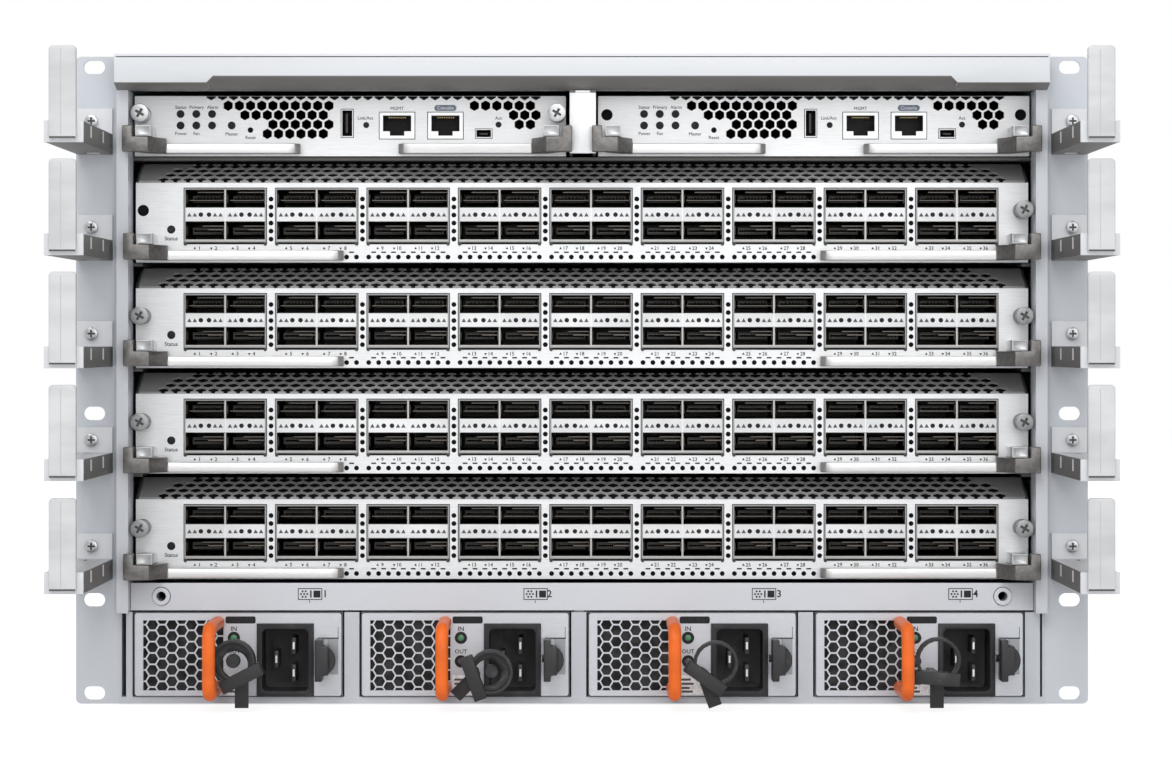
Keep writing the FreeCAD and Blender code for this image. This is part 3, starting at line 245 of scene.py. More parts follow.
class Look:
    """A procedural finish around a Principled shader."""

    def __init__(self, name, **constants):
        self.material = bpy.data.materials.new(name)
        self.material.use_nodes = True
        self.tree = self.material.node_tree
        self.shader = self.tree.nodes["Principled BSDF"]
        for socket, value in constants.items():
            self.shader.inputs[socket.replace("_", " ")].default_value = value
        coordinates = self.tree.nodes.new("ShaderNodeTexCoord")
        self.place = Wire(self, coordinates.outputs["Object"])
        apart = self.tree.nodes.new("ShaderNodeSeparateXYZ")
        self.tree.links.new(self.place.socket, apart.inputs[0])
        self.x, self.y, self.z = (Wire(self, output) for output in apart.outputs)
        looks[name] = self.material

    def add(self, kind, settings, *values, output=0, **named):
        """A node with its settings made first, then its inputs' values or links."""
        node = self.tree.nodes.new(kind)
        for setting, value in settings.items():
            setattr(node, setting, value)
        pairs = [(node.inputs[number], value) for number, value in enumerate(values)]
        pairs += [(node.inputs[name], value) for name, value in named.items()]
        for socket, value in pairs:
            self.feed(socket, value)
        return Wire(self, node.outputs[output])

    def feed(self, socket, value):
        if isinstance(value, Wire):
            self.tree.links.new(value.socket, socket)
        else:
            socket.default_value = value

    def noise(self, scale, detail=2.0, stretch=(1, 1, 1), roughness=0.5):
        """Noise about the object's place, its grain stretched along the axes."""
        place = self.add("ShaderNodeMapping", {}, self.place, Scale=stretch)
        named = {"Scale": scale, "Detail": detail, "Roughness": roughness}
        return self.add("ShaderNodeTexNoise", {}, Vector=place, **named)

    def cells(self, scale):
        """Distance to the nearest of scattered points."""
        return self.add("ShaderNodeTexVoronoi", {}, Vector=self.place, Scale=scale)

    def attribute(self, name):
        return self.add("ShaderNodeAttribute", {"attribute_name": name}, output="Fac")

    def mix(self, factor, first, second):
        """A colour between two colours."""
        node = self.tree.nodes.new("ShaderNodeMix")
        node.data_type = "RGBA"
        for number, value in ((0, factor), (6, first), (7, second)):
            if number and not isinstance(value, Wire):
                value = (*value, 1.0)
            self.feed(node.inputs[number], value)
        return Wire(self, node.outputs[2])

    def bump(self, height, strength, depth):
        return self.add("ShaderNodeBump", {}, Height=height, Strength=strength, Distance=depth)

    def surface(self, colour, roughness, height, strength, depth):
        """Feeds what changes over the surface to the shader."""
        self.feed(self.shader.inputs["Base Color"], colour)
        self.feed(self.shader.inputs["Roughness"], roughness)
        self.feed(self.shader.inputs["Normal"], self.bump(height, strength, depth))


def shade(tone, factor):
    """The colour made lighter or darker."""
    return tuple(min(1.0, channel * factor) for channel in tone)


def powder_coat(name, tone, roughness=0.42, regions=()):
    """Satin powder coat: fine orange peel and faint clouding."""
    look = Look(name, IOR=1.5)
    peel = look.noise(1400, 2)
    cloud = look.noise(7, 3)
    speck = look.cells(2600).rise(0.05, 0.35)
    base = look.mix(cloud.rise(0.3, 0.7), shade(tone, 0.98), shade(tone, 1.02))
    base = look.mix(speck * 0.12, base, shade(tone, 0.82))
    for mask, other in regions:
        base = look.mix(mask(look), base, other)
    gloss = cloud * 0.10 + peel * 0.06 + (roughness - 0.08)
    look.surface(base, gloss, peel + speck * 0.5, 0.25, 0.00006)


def plated_steel(name, tone, roughness=0.32, metallic=0.75, grain=(3, 90, 90), regions=()):
    """Plated sheet with rolled grain along one axis and soft smudges."""
    look = Look(name, Metallic=metallic)
    streak = look.noise(45, 4, grain)
    smudge = look.noise(26, 4, roughness=0.6)
    spangle = look.cells(320)
    base = look.mix(streak.rise(0.25, 0.75), shade(tone, 0.93), shade(tone, 1.05))
    base = look.mix(smudge.rise(0.52, 0.85) * 0.35, base, shade(tone, 0.86))
    base = look.mix(spangle.rise(0.1, 0.9) * 0.06, base, shade(tone, 0.8))
    for mask, other in regions:
        base = look.mix(mask(look), base, other)
    gloss = streak * 0.14 + smudge * 0.16 + (roughness - 0.12)
    look.surface(base, gloss, streak, 0.12, 0.00004)


def moulded(name, tone, roughness=0.45, grain=1100, regions=(), **constants):
    """Moulded plastic with a spark-eroded grain and faint flow marks."""
    look = Look(name, **constants)
    leather = look.cells(grain)
    flow = look.noise(24, 3, (1, 1, 3))
    base = look.mix(flow.rise(0.3, 0.7), shade(tone, 0.9), shade(tone, 1.1))
    dust = look.noise(90, 4, roughness=0.7).rise(0.55, 0.8)
    base = look.mix(dust * 0.10, base, (0.5, 0.5, 0.5))
    for mask, other in regions:
        base = look.mix(mask(look), base, other)
    gloss = flow * 0.12 + leather * 0.08 + (roughness - 0.08)
    look.surface(base, gloss, leather, 0.2, 0.00005)


def printed(name, tone, roughness=0.5):
    """Screen print with a slightly uneven edge to its cover."""
    look = Look(name, Specular_IOR_Level=0.15)
    patch = look.noise(900, 2)
    base = look.mix(patch.rise(0.35, 0.7), shade(tone, 0.9), shade(tone, 1.2))
    look.surface(base, patch * 0.1 + roughness, patch, 0.1, 0.00002)


def lens(name, tone):
    """A small moulded light guide: milky body under a clear skin."""
    look = Look(name, Coat_Weight=0.6, Coat_Roughness=0.08, IOR=1.49)
    milk = look.noise(700, 2)
    base = look.mix(milk.rise(0.3, 0.7), shade(tone, 0.85), shade(tone, 1.15))
    look.surface(base, milk * 0.1 + 0.2, milk, 0.05, 0.00002)


def hollow(name, tone):
    """Painted shade: the dark space behind a hole, laid on as a colour."""
    look = Look(name, Specular_IOR_Level=0.1)
    depth = look.noise(160, 3)
    base = look.mix(depth.rise(0.35, 0.7), shade(tone, 0.6), shade(tone, 1.5))
    look.surface(base, depth * 0.2 + 0.6, depth, 0.2, 0.0001)


def dark_behind(start, end):
    """A mask that is 1 from one depth to another."""
    fade = 0.0004
    return lambda look: look.y.rise(start, start + fade) * look.y.rise(end + fade, end)


def below_behind(level, depth):
    """A mask that is 1 under a level and behind a depth."""
    fade = 0.0001
    return lambda look: look.z.rise(level, level - fade) * look.y.rise(depth, depth + 2 * fade)


def make_looks():
    """Every finish, from the colours in the panel."""
    tones = bpy.context.scene.chassis_colours
    tone = {name: tuple(getattr(tones, name)) for name in ChassisColours.__annotations__}

    front_edges = [(lambda look: look.y.rise(0.001, -0.001), tone["strip"])]
    powder_coat("case_coat", tone["case"], regions=front_edges)
    powder_coat("fascia_coat", tone["fascia"], 0.36)
    powder_coat("fascia_shadow", (0.19, 0.18, 0.175), 0.45)
    powder_coat("ear_coat", tone["ear"])
    powder_coat("shelf_coat", shade(tone["strip"], 1.05), 0.38)
    powder_coat("arm_coat", tone["arm"], 0.40)
    # Painted shade on the arms' inner walls and undersides.
    powder_coat("arm_inside", tone["arm_inside"], 0.5)
    # Painted light: pale patches for the backdrop seen through the arms' slots.
    powder_coat("arm_slot", (0.75, 0.75, 0.76), 0.5)
    # Painted highlight: a lighter copy of the arm paint on the front plates and flanges.
    powder_coat("arm_collar", shade(tone["arm"], 1.35), 0.4)
    powder_coat("fan_coat", tone["case"], 0.45)
    powder_coat("bevel_coat", tone["bevel"], 0.4)

    # The bevel's own dark grey paint, and painted shade on the tray's sides and in the gap behind the bevel.
    card_bevel_and_gap_shade = [(dark_behind(0.0102, 0.029), tone["bevel"])]
    # Painted shade inside the modules, seen through their comb holes.
    module_inside_shade = [(dark_behind(0.0106, 0.06), tone["bevel"])]
    plated_steel("card_steel", tone["face"], regions=card_bevel_and_gap_shade)
    plated_steel("face_steel", tone["face"], 0.34, 0.45)
    plated_steel("module_steel", tone["face"], 0.34, 0.45, regions=module_inside_shade)
    plated_steel("post_steel", shade(tone["face"], 1.15), 0.3, 0.3, (90, 90, 3))
    plated_steel("bracket_steel", shade(tone["face"], 0.7), 0.35, 0.6)
    plated_steel("port_glint", (0.15, 0.135, 0.12), 0.35, 0.8, (60, 60, 3))
    board = [(dark_behind(0.0245, 1.0), shade(tone["board"], 1.3))]
    moulded("module_sockets", shade(tone["black"], 0.7), 0.4, regions=board, Specular_IOR_Level=0.2)
    moulded("fan_plastic", shade(tone["black"], 1.3), 0.4)
    for card in CARDS:
        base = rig.box(f"{card}_tray")[0].z
        regions = [
            # Painted shade on the cage walls inside the ports, behind the front rim.
            (dark_behind(0.0098, 1.0), tone["port"]),
            (below_behind(base + 0.0099, 0.0139), tone["board"]),
        ]
        plated_steel(f"{card}_cages", tone["cage"], 0.4, regions=regions)
    plated_steel("rail_steel", shade(tone["cage"], 0.35), 0.5)
    plated_steel("supply_steel", tone["supply"], 0.34, 0.6)
    plated_steel("vent_steel", shade(tone["supply"], 1.12), 0.34, 0.6)
    plated_steel("supply_face", shade(tone["supply"], 1.05), 0.34, 0.5)
    plated_steel("ear_screw", shade(tone["ear"], 0.9), 0.3, 0.8)
    plated_steel("screw_steel", shade(tone["face"], 0.72), 0.28, 0.9, (60, 60, 60))
    plated_steel("dull_screw", shade(tone["face"], 0.42), 0.32, 0.8, (60, 60, 60))
    # Painted shade in the screws' cross recesses.
    plated_steel("screw_recess", shade(tone["face"], 0.12), 0.4, 0.5, (60, 60, 60))
    plated_steel("bright_trim", shade(tone["face"], 1.1), 0.28, 0.5)
    plated_steel("rim_steel", shade(tone["face"], 0.40), 0.34, 0.5)

    lever = Look("lever_metal", Metallic=0.8)
    cast = lever.noise(500, 3)
    brush = lever.noise(60, 4, (2, 60, 60))
    # Painted shade on the hub and shoulder; the bar past it takes the bright bar colour.
    out_of_hub_shade = lever.attribute("reach").rise(0.0165, 0.0175)
    base = lever.mix(cast.rise(0.3, 0.7), shade(tone["lever"], 0.85), shade(tone["lever"], 1.15))
    bar = lever.mix(brush.rise(0.3, 0.7), shade(tone["lever_bar"], 0.92), tone["lever_bar"])
    base = lever.mix(out_of_hub_shade, base, bar)
    # Painted shade on the rolled tip of each bar.
    rolled = lever.attribute("tip").rise(0.0065, 0.0015)
    base = lever.mix(rolled * 0.75, base, shade(tone["lever"], 1.4))
    lever.surface(base, cast * 0.15 + brush * 0.1 + 0.25, cast, 0.15, 0.00006)

    moulded("finger_plastic", tone["finger"], 0.42, 900)
    moulded("inlet_plastic", shade(tone["black"], 1.5), 0.42, Specular_IOR_Level=0.3)
    moulded("latch_plastic", shade(tone["black"], 1.4), 0.38, 800)
    moulded("tie_nylon", shade(tone["black"], 1.15), 0.48, 700)
    moulded("contact_plastic", (0.042, 0.040, 0.038), 0.4)
    plated_steel("window_steel", shade(tone["supply"], 0.62), 0.3, 0.6, (90, 3, 3))
    moulded("grip_coating", tone["grip"], 0.36, 500, Specular_IOR_Level=0.22)
    moulded("light_band", tone["band"], 0.4, 600)

    # Dark print, also laid on as painted shade in joints and gaps.
    printed("dark_ink", tone["ink"])
    printed("grey_ink", (0.10, 0.10, 0.105))
    printed("blue_ink", (0.20, 0.24, 0.32))
    printed("white_label", (0.80, 0.80, 0.80), 0.35)
    moulded("grey_lamp", (0.022, 0.022, 0.024), 0.5, 900, Specular_IOR_Level=0.15)
    lens("green_lamp", (0.06, 0.22, 0.10))
    lens("violet_lamp", (0.09, 0.07, 0.10))
    # Painted shade for holes, recesses and what lies behind grilles.
    hollow("dark_hollow", (0.006, 0.006, 0.007))
    hollow("warm_hollow", (0.012, 0.011, 0.010))
    hollow("vent_hollow", (0.05, 0.05, 0.052))

    gold = Look("contact_gold", Metallic=1.0)
    rub = gold.noise(2000, 2)
    base = gold.mix(rub, (0.75, 0.52, 0.20), (0.85, 0.66, 0.32))
    gold.surface(base, rub * 0.2 + 0.2, rub, 0.1, 0.00002)
    # Painted highlight: bright metal for the glints on the inlet blades' ends.
    blade = Look("blade_metal", Metallic=0.9)
    scratch = blade.noise(800, 3, (1, 8, 1))
    base = blade.mix(scratch, (0.70, 0.70, 0.70), (0.92, 0.92, 0.92))
    blade.surface(base, scratch * 0.2 + 0.18, scratch, 0.1, 0.00003)
    moulded("blade_shade", (0.035, 0.034, 0.034), 0.35, 900)
    # Painted shade: a dark line in each finger's crease and a near-black band along its foot.
    powder_coat("finger_crease", shade(tone["finger"], 0.8), 0.45)
    powder_coat("finger_foot", (0.07, 0.07, 0.07), 0.5)


# ---------------------------------------------------------------- modelling


def deselect():
    """Leaves edit mode with nothing selected."""
    if bpy.context.object and bpy.context.object.mode != "OBJECT":
        bpy.ops.object.mode_set(mode="OBJECT")
    bpy.ops.object.select_all(action="DESELECT")


def choose(*pieces):
    """Selects pieces, the first of them active."""
    deselect()
    for piece in pieces:
        piece.select_set(True)
    bpy.context.view_layer.objects.active = pieces[0]
    return pieces[0]


def settle():
    """Gives the new primitive's place to its mesh."""
    bpy.ops.object.transform_apply(location=True, rotation=True, scale=True)
    return bpy.context.object


def dress(piece, *names):
    """Adds finishes after those that the piece has."""
    for name in names:
        piece.data.materials.append(looks[name])
    return piece


def around(middle, half):
    """The span that reaches as far to both sides of a number."""
    return (middle - half, middle + half)


def block(x, y, z, look, rounded=0.0, segments=1):
    """A box between two numbers on each axis, in millimetres, with its edges eased."""
    deselect()
    middle = [(low + high) / 2 * MM for low, high in (x, y, z)]
    extent = [abs(high - low) * MM for low, high in (x, y, z)]
    bpy.ops.mesh.primitive_cube_add(size=1, location=middle, scale=extent)
    piece = dress(settle(), look)
    return ease(piece, rounded, segments) if rounded else piece


def drum(x, z, width, y, look, sides=16, rounded=0.0, turn=0.0, segments=1):
    """A round or many-sided post along Y, in millimetres."""
    deselect()
    bpy.ops.mesh.primitive_cylinder_add(
        vertices=sides,
        radius=width / 2 * MM,
        depth=abs(y[1] - y[0]) * MM,
        location=(x * MM, (y[0] + y[1]) / 2 * MM, z * MM),
        rotation=(math.pi / 2, turn, 0),
    )
    piece = dress(settle(), look)
    if rounded:
        return ease(piece, rounded, segments)
    bpy.ops.object.shade_smooth_by_angle(angle=math.radians(35))
    return piece


def applied(piece, kind, **settings):
    """Adds one modifier and applies it."""
    choose(piece)
    modifier = piece.modifiers.new(kind.title(), kind)
    for setting, value in settings.items():
        setattr(modifier, setting, value)
    bpy.ops.object.modifier_apply(modifier=modifier.name)
    return piece


def row_of(piece, count, step):
    """The piece repeated along X, its step in millimetres."""
    settings = {"use_relative_offset": False, "use_constant_offset": True}
    return applied(piece, "ARRAY", count=count, constant_offset_displace=(step * MM, 0, 0), **settings)


def ease(piece, width, segments=1, angle=32):
    """Rounds the sharp edges by a width in millimetres."""
    settings = {"limit_method": "ANGLE", "angle_limit": math.radians(angle)}
    applied(piece, "BEVEL", width=width * MM, segments=segments, use_clamp_overlap=True, **settings)
    bpy.ops.object.shade_smooth_by_angle(angle=math.radians(angle))
    return piece


def merge(*pieces):
    """One object made of several, each keeping its finish."""
    choose(*pieces)
    if len(pieces) > 1:
        bpy.ops.object.join()
    return bpy.context.object


def moved(piece, x=0.0, y=0.0, z=0.0):
    """Shifts a piece's mesh by millimetres."""
    piece.data.transform(Matrix.Translation(Vector((x, y, z)) * MM))
    return piece


def another(piece, x=0.0, y=0.0, z=0.0):
    """A copy of a piece with its own mesh, shifted by millimetres."""
    copy = bpy.data.objects.new(piece.name, piece.data.copy())
    bpy.context.scene.collection.objects.link(copy)
    return moved(copy, x, y, z)


def scattered(piece, spots):
    """The piece at each shift in millimetres, as one object; the pattern itself is used up."""
    copies = [another(piece, *spot) for spot in spots]
    bpy.data.objects.remove(piece)
    return merge(*copies)


def carve(piece, cutter):
    """Takes the cutter out of the piece."""
    applied(piece, "BOOLEAN", operation="DIFFERENCE", object=cutter, solver="EXACT")
    bpy.data.objects.remove(cutter)
    return piece


def sink(piece, margin, depth, look=None):
    """Insets the front face and pushes it back, in millimetres."""
    choose(piece)
    bpy.ops.object.mode_set(mode="EDIT")
    bpy.ops.mesh.select_mode(type="FACE")
    bpy.ops.mesh.select_all(action="DESELECT")
    bpy.ops.object.mode_set(mode="OBJECT")
    for face in piece.data.polygons:
        face.select = face.normal.y < -0.9
    bpy.ops.object.mode_set(mode="EDIT")
    bpy.ops.mesh.inset(thickness=margin * MM)
    bpy.ops.mesh.extrude_region_move(TRANSFORM_OT_translate={"value": (0, depth * MM, 0)})
    if look:
        dress(piece, look)
        piece.active_material_index = len(piece.data.materials) - 1
        bpy.ops.object.material_slot_assign()
    bpy.ops.object.mode_set(mode="OBJECT")
    return piece


def softened(node, look, width, segments=2, angle=32):
    """A copy of a CAD node with its triangles merged into whole faces and its edges eased."""
    mesh = frame["nodes"][node].data.copy()
    mesh.materials.clear()
    piece = dress(bpy.data.objects.new(node, mesh), look)
    bpy.context.scene.collection.objects.link(piece)
    choose(piece)
    bpy.ops.object.mode_set(mode="EDIT")
    bpy.ops.mesh.select_all(action="SELECT")
    bpy.ops.mesh.remove_doubles(threshold=0.000002)
    bpy.ops.mesh.dissolve_limited(angle_limit=math.radians(1))
    bpy.ops.object.mode_set(mode="OBJECT")
    if width:
        return ease(piece, width, segments, angle)
    bpy.ops.object.shade_smooth_by_angle(angle=math.radians(50))
    return piece


def words(text, x, z, height, y, look="dark_ink"):
    """Plain printed characters on a surface that faces the front."""
    deselect()
    bpy.ops.object.text_add(location=(x * MM, (y - 0.03) * MM, z * MM), rotation=(math.pi / 2, 0, 0))
    text_object = bpy.context.object
    text_object.data.body = text
    text_object.data.size = height * 1.38 * MM
    text_object.data.align_x = "CENTER"
    text_object.data.align_y = "CENTER"
    text_object.data.resolution_u = 2
    text_object.data.offset = height * 0.02 * MM
    text_object.data.extrude = bpy.context.scene.chassis_sizes.print_depth / 2
    bpy.ops.object.convert(target="MESH")
    piece = settle()
    piece.data.materials.clear()
    return dress(piece, look)


def plate(x, z, y, look, rounded):
    """A sheet that faces the front, its corners rounded, between two numbers on each axis."""
    deselect()
    middle = Vector(((x[0] + x[1]) / 2, y[1], (z[0] + z[1]) / 2)) * MM
    bpy.ops.mesh.primitive_plane_add(size=1, location=middle, rotation=(math.pi / 2, 0, 0))
    piece = bpy.context.object
    piece.scale = ((x[1] - x[0]) * MM, (z[1] - z[0]) * MM, 1)
    piece = dress(settle(), look)
    applied(piece, "BEVEL", width=rounded * MM, segments=4, affect="VERTICES")
    return applied(piece, "SOLIDIFY", thickness=(y[1] - y[0]) * MM, offset=1)


def sign(x, z, width, height, y, look="dark_ink", rounded=0.0):
    """A flat printed patch."""
    depth = bpy.context.scene.chassis_sizes.print_depth / MM
    x_span = (x - width / 2, x + width / 2)
    z_span = (z - height / 2, z + height / 2)
    if rounded:
        return plate(x_span, z_span, (y - depth, y), look, rounded)
    return block(x_span, (y - depth, y), z_span, look)


def arrow(x, z, width, y, up=True, look="grey_ink"):
    """A small printed triangle."""
    depth = bpy.context.scene.chassis_sizes.print_depth / MM
    turn = 0.0 if up else math.pi
    return drum(x, z, width, (y - depth, y), look, 3, turn=turn)


def done(piece, name, body, slot, *replaced):
    """Names a finished piece and ties it to its body, its finish's slot and the nodes it stands for."""
    piece.name = name
    piece.data.name = name
    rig.ride(piece, body)
    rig.slot(piece, slot)
    if replaced:
        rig.replaces(piece, *replaced)


def corner(node):
    """A node's lowest corner in millimetres."""
    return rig.box(node)[0] / MM


def far_corner(node):
    """A node's highest corner in millimetres."""
    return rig.box(node)[1] / MM


def corners(node):
    """A node's lowest and highest corners in millimetres."""
    return corner(node), far_corner(node)


def captive_screw(look):
    """A captive screw at the origin: sleeve, collar, rounded head and cross recess."""
    sizes = bpy.context.scene.chassis_sizes
    width = sizes.screw_head / MM
    tip = -sizes.screw_reach / MM
    sleeve = drum(0, 0, width * 0.78, (tip + 1.5, -0.1), look, 20, 0.2)
    collar = drum(0, 0, width * 0.92, (-3.2, -0.1), look, 20, 0.3)
    head = drum(0, 0, width, (tip, tip + 2.6), look, 24, 0.35, segments=2)
    dress(head, "screw_recess")
    slot_half, slot_reach = 0.6, width * 0.27
    for wide, tall in ((slot_reach, slot_half), (slot_half, slot_reach)):
        slot = block(around(0, wide), around(tip, 1.0), around(0, tall), "screw_recess")
        slot.data.transform(Matrix.Rotation(math.radians(30), 4, "Y"))
        carve(head, slot)
    return merge(head, sleeve, collar)


def pan_screw(width, reach, look="screw_steel"):
    """A pan-head screw at the origin with a cross recess, seen from the front."""
    head = drum(0, 0, width, (-reach, 0), look, 20, reach * 0.35, segments=2)
    dress(head, "screw_recess")
    slot_half, slot_reach = width * 0.07, width * 0.28
    for wide, tall in ((slot_reach, slot_half), (slot_half, slot_reach)):
        cutter = block(around(0, wide), (-reach - 1, -reach * 0.45), around(0, tall), "screw_recess")
        carve(head, cutter)
    return head


# ---------------------------------------------------------------- cards

CAGES = [-190.6 + 43.85 * number for number in range(9)]
CAGE_WIDTH = 39.05
DOT_PITCH = 4.75
PORT_LEFTS = (0.5, 19.95)
PORT_WIDTH = 18.6
STATUS_X, STATUS_Z = -197, 15.8
SCREW_X, SCREW_Z = 210.4, 24.9
MODULE_SCREW_Z = 19.8
ARM_PITCH = 50.6


def on_each_card(piece, ending, slot):
    """A copy of the piece on each line card; its heights count from the tray's underside."""
    for card in CARDS:
        done(another(piece, z=corner(f"{card}_tray").z), f"{card}_{ending}", card, slot)
    bpy.data.objects.remove(piece)


def card_plane(card):
    """Where a card's face stands, in millimetres."""
    return corner(f"{card}_board").y + (0.8 if card in CARDS else 0.0)


class ChassisSheet(bpy.types.Operator):
    """Gives the carried-over sheet metal its finishes"""

    bl_idname = "chassis.sheet"
    bl_label = "Sheet metal"

    def execute(self, context):
        coats = {
            "side_walls": "case_coat",
            "top_cover": "case_coat",
            "base_pan": "case_coat",
            "rack_ears": "ear_coat",
            "power_shelf": "shelf_coat",
            "card_cage": "rail_steel",
        }
        coats.update({f"{card}_tray": "card_steel" for card in CARDS})
        coats.update({f"{card}_board": f"{card}_cages" for card in CARDS})
        coats.update({f"{module}_tray": "module_steel" for module in MODULES})
        coats.update({f"{module}_board": "module_sockets" for module in MODULES})
        coats.update({f"{supply}_case": "supply_steel" for supply in SUPPLIES})
        coats.update({f"{supply}_vent": "vent_steel" for supply in SUPPLIES})
        coats.update({tray: "fan_coat" for tray in FAN_TRAYS})
        for node, coat in coats.items():
            piece = frame["nodes"][node]
            piece.data.materials.clear()
            dress(piece, coat)
        return {"FINISHED"}


class ChassisCardFaces(bpy.types.Operator):
    """Adds the punched face sheets of the line cards"""

    bl_idname = "chassis.card_faces"
    bl_label = "Card faces"

    def execute(self, context):
        dot = context.scene.chassis_sizes.dot_hole / MM
        plane = card_plane(CARDS[-1])
        half = -corner(f"{CARDS[-1]}_tray").x - 0.2
        sheet = block((-half, half), (plane - 0.5, plane - 0.02), (0.1, 38.0), "face_steel")
        # Painted shade: a dark sheet just behind the face, seen through its vent dots and cut away where the cages
        # stand.
        dark = block((-half, half), (plane - 0.02, plane - 0.01), (0.2, 37.9), "dark_hollow")
        deep = around(plane, 2)
        middle = CAGE_WIDTH / 2
        windows = []
        cages = []
        dots = []
        for left in CAGES:
            windows.append(block(around(left + middle, middle + 0.5), deep, (8.7, 35.9), "warm_hollow"))
            cages.append(block(around(left + middle, middle + 0.1), deep, (9.7, 35.5), "warm_hollow"))
            if left != CAGES[-1]:
                for number in range(6):
                    height = 20.8 + (number - 2.5) * 3.85
                    dots.append(drum(left + CAGE_WIDTH + 2.4, height, dot, deep, "warm_hollow", 12))
            for number in range(9):
                dots.append(drum(left + 0.6 + number * DOT_PITCH, 2.6, dot, deep, "warm_hollow", 10))
            for number in range(8):
                across = left + 2.975 + number * DOT_PITCH
                dots.append(block(around(across, 1.15), deep, (4.55, 5.25), "warm_hollow"))
        dots.append(drum(STATUS_X, STATUS_Z, 4.0, deep, "warm_hollow", 20))
        dots += [drum(side * SCREW_X, SCREW_Z, 5.5, deep, "warm_hollow", 20) for side in (-1, 1)]
        carve(sheet, merge(*windows, *dots))
        carve(dark, merge(*cages))
        on_each_card(merge(sheet, dark), "face", "face_steel")
        return {"FINISHED"}


class ChassisCardBevels(bpy.types.Operator):
    """Adds the perforated grilles on the cards' bevels"""

    bl_idname = "chassis.card_bevels"
    bl_label = "Card bevels"

    def execute(self, context):
        sizes = context.scene.chassis_sizes
        plane = card_plane(CARDS[-1])
        run, rise = 18.5, 9.2
        slope = math.atan2(rise, run)
        reach = math.hypot(run, rise)
        half = -corner(f"{CARDS[-1]}_tray").x - 1.5
        pitch = sizes.bevel_pitch / MM
        row_pitch = pitch * math.sqrt(3) / 2
        across_corners = sizes.bevel_hole / MM * 1.155
        sheet = block((-half, half), (-0.9, -0.05), (0.3, reach - 0.3), "bevel_coat")
        # Painted shade: a dark sheet behind the grille, seen through its holes.
        dark = block((-half + 6, half - 6), (-0.05, -0.03), (0.5, reach - 0.5), "dark_hollow")
        holes = []
        for row, count in enumerate((68, 67, 66, 63)):
            start, height = -(count - 1) / 2 * pitch, 2.6 + row * row_pitch
            pattern = drum(start, height, across_corners, (-2, 1), "bevel_coat", 6)
            holes.append(row_of(pattern, count, pitch))
        carve(sheet, merge(*holes))
        grille = merge(sheet, dark)
        grille.data.transform(Matrix.Rotation(slope - math.pi / 2, 4, "X"))
        on_each_card(moved(grille, y=plane, z=38.2), "bevel_grille", "face_steel")
        return {"FINISHED"}


def port_insert(left, low, upper):
    """What shows inside one port: the contact block with its rows of contacts, and side springs."""
    middle = left + PORT_WIDTH / 2
    right = left + PORT_WIDTH - 0.4
    block_half = 7.2
    body = block(around(middle, block_half), (21, 48), (low + 2.6, low + 6.2), "contact_plastic", 0.2)
    # Painted shade in the contact block's slot.
    sink(body, 0.55, 2.5, look="dark_hollow")
    first = middle - block_half + 1.0
    contact = block((first, first + 0.45), (20.4, 24), (low + 4.9, low + 5.3), "port_glint")
    contacts = row_of(contact, 15, 0.88)
    parts = [body, contacts, another(contacts, z=-1.4)]
    for spring in (middle - PORT_WIDTH / 2 + 0.45, middle + PORT_WIDTH / 2 - 0.45):
        spring_z = (low + 2.2, low + 6.4)
        parts.append(block(around(spring, 0.15), (10.5, 18), spring_z, "port_glint", 0.1))
    if upper:
        ledges = [
            ((left + 5.5, right), (12, 20), 7.2, 7.6),
            ((left + 1.5, right - 0.2), (13, 21), 3.4, 3.75),
        ]
        # Painted shade: a row of dark teeth.
        teeth = block((left + 5.2, left + 5.9), (12.4, 14), (low + 4.5, low + 5.2), "dark_hollow")
        parts.append(row_of(teeth, 8, 1.6))
    else:
        ledges = [((left + 8.0, right), (12, 19), 6.3, 6.7), ((left + 10.5, right), (12, 19), 4.6, 5.1)]
    for across, deep, foot, top in ledges:
        parts.append(block(across, deep, (low + foot, low + top), "port_glint"))
    return merge(*parts)


class ChassisPorts(bpy.types.Operator):
    """Adds the ports' light bands, spring strips and contact blocks"""

    bl_idname = "chassis.ports"
    bl_label = "Ports"

    def execute(self, context):
        front_y = corner(f"{CARDS[-1]}_board").y
        print_y = front_y - 0.35
        band_z = (19.7, 26.2)
        middle = CAGE_WIDTH / 2
        band = block(around(middle, middle - 0.5), (print_y, front_y - 0.02), band_z, "light_band", 0.1)
        seam = block((19.2, 19.85), (front_y - 0.5, front_y - 0.3), band_z, "bright_trim", 0.1)
        marks = []
        for left in PORT_LEFTS:
            for offset in (1.9, 4.5, 14.2, 16.8):
                marks.append(arrow(left + offset, 22.6, 2.5, print_y))
            for offset in (7.4, 11.3):
                marks.append(drum(left + offset, 22.9, 2.2, (print_y - 0.08, print_y), "grey_lamp", 16))
        # Painted shade: a dark strip in the gap under each cage.
        strip_y = (front_y - 0.1, front_y + 0.6)
        strip = block(around(middle, middle + 0.2), strip_y, (8.75, 9.7), "warm_hollow", 0.1)
        knob_y = (front_y - 0.4, front_y + 0.5)
        knobs = [drum(x, 8.9, 1.7, knob_y, "contact_plastic", 12, 0.2) for x in (0.4, CAGE_WIDTH - 0.4)]
        rim_y = (front_y - 0.12, front_y + 0.5)
        edging = block(around(middle, middle + 0.15), rim_y, (9.7, 35.5), "rim_steel")
        carve(edging, block(around(middle, middle - 0.45), around(front_y, 2), (10.3, 34.95), "rim_steel"))
        inserts = [port_insert(left, low, low > 20) for left in PORT_LEFTS for low in (11.0, 26.3)]
        cage = merge(band, seam, *marks, strip, *knobs, edging, *inserts)
        on_each_card(scattered(cage, [(left, 0, 0) for left in CAGES]), "port_trims", "port_steel")
        return {"FINISHED"}


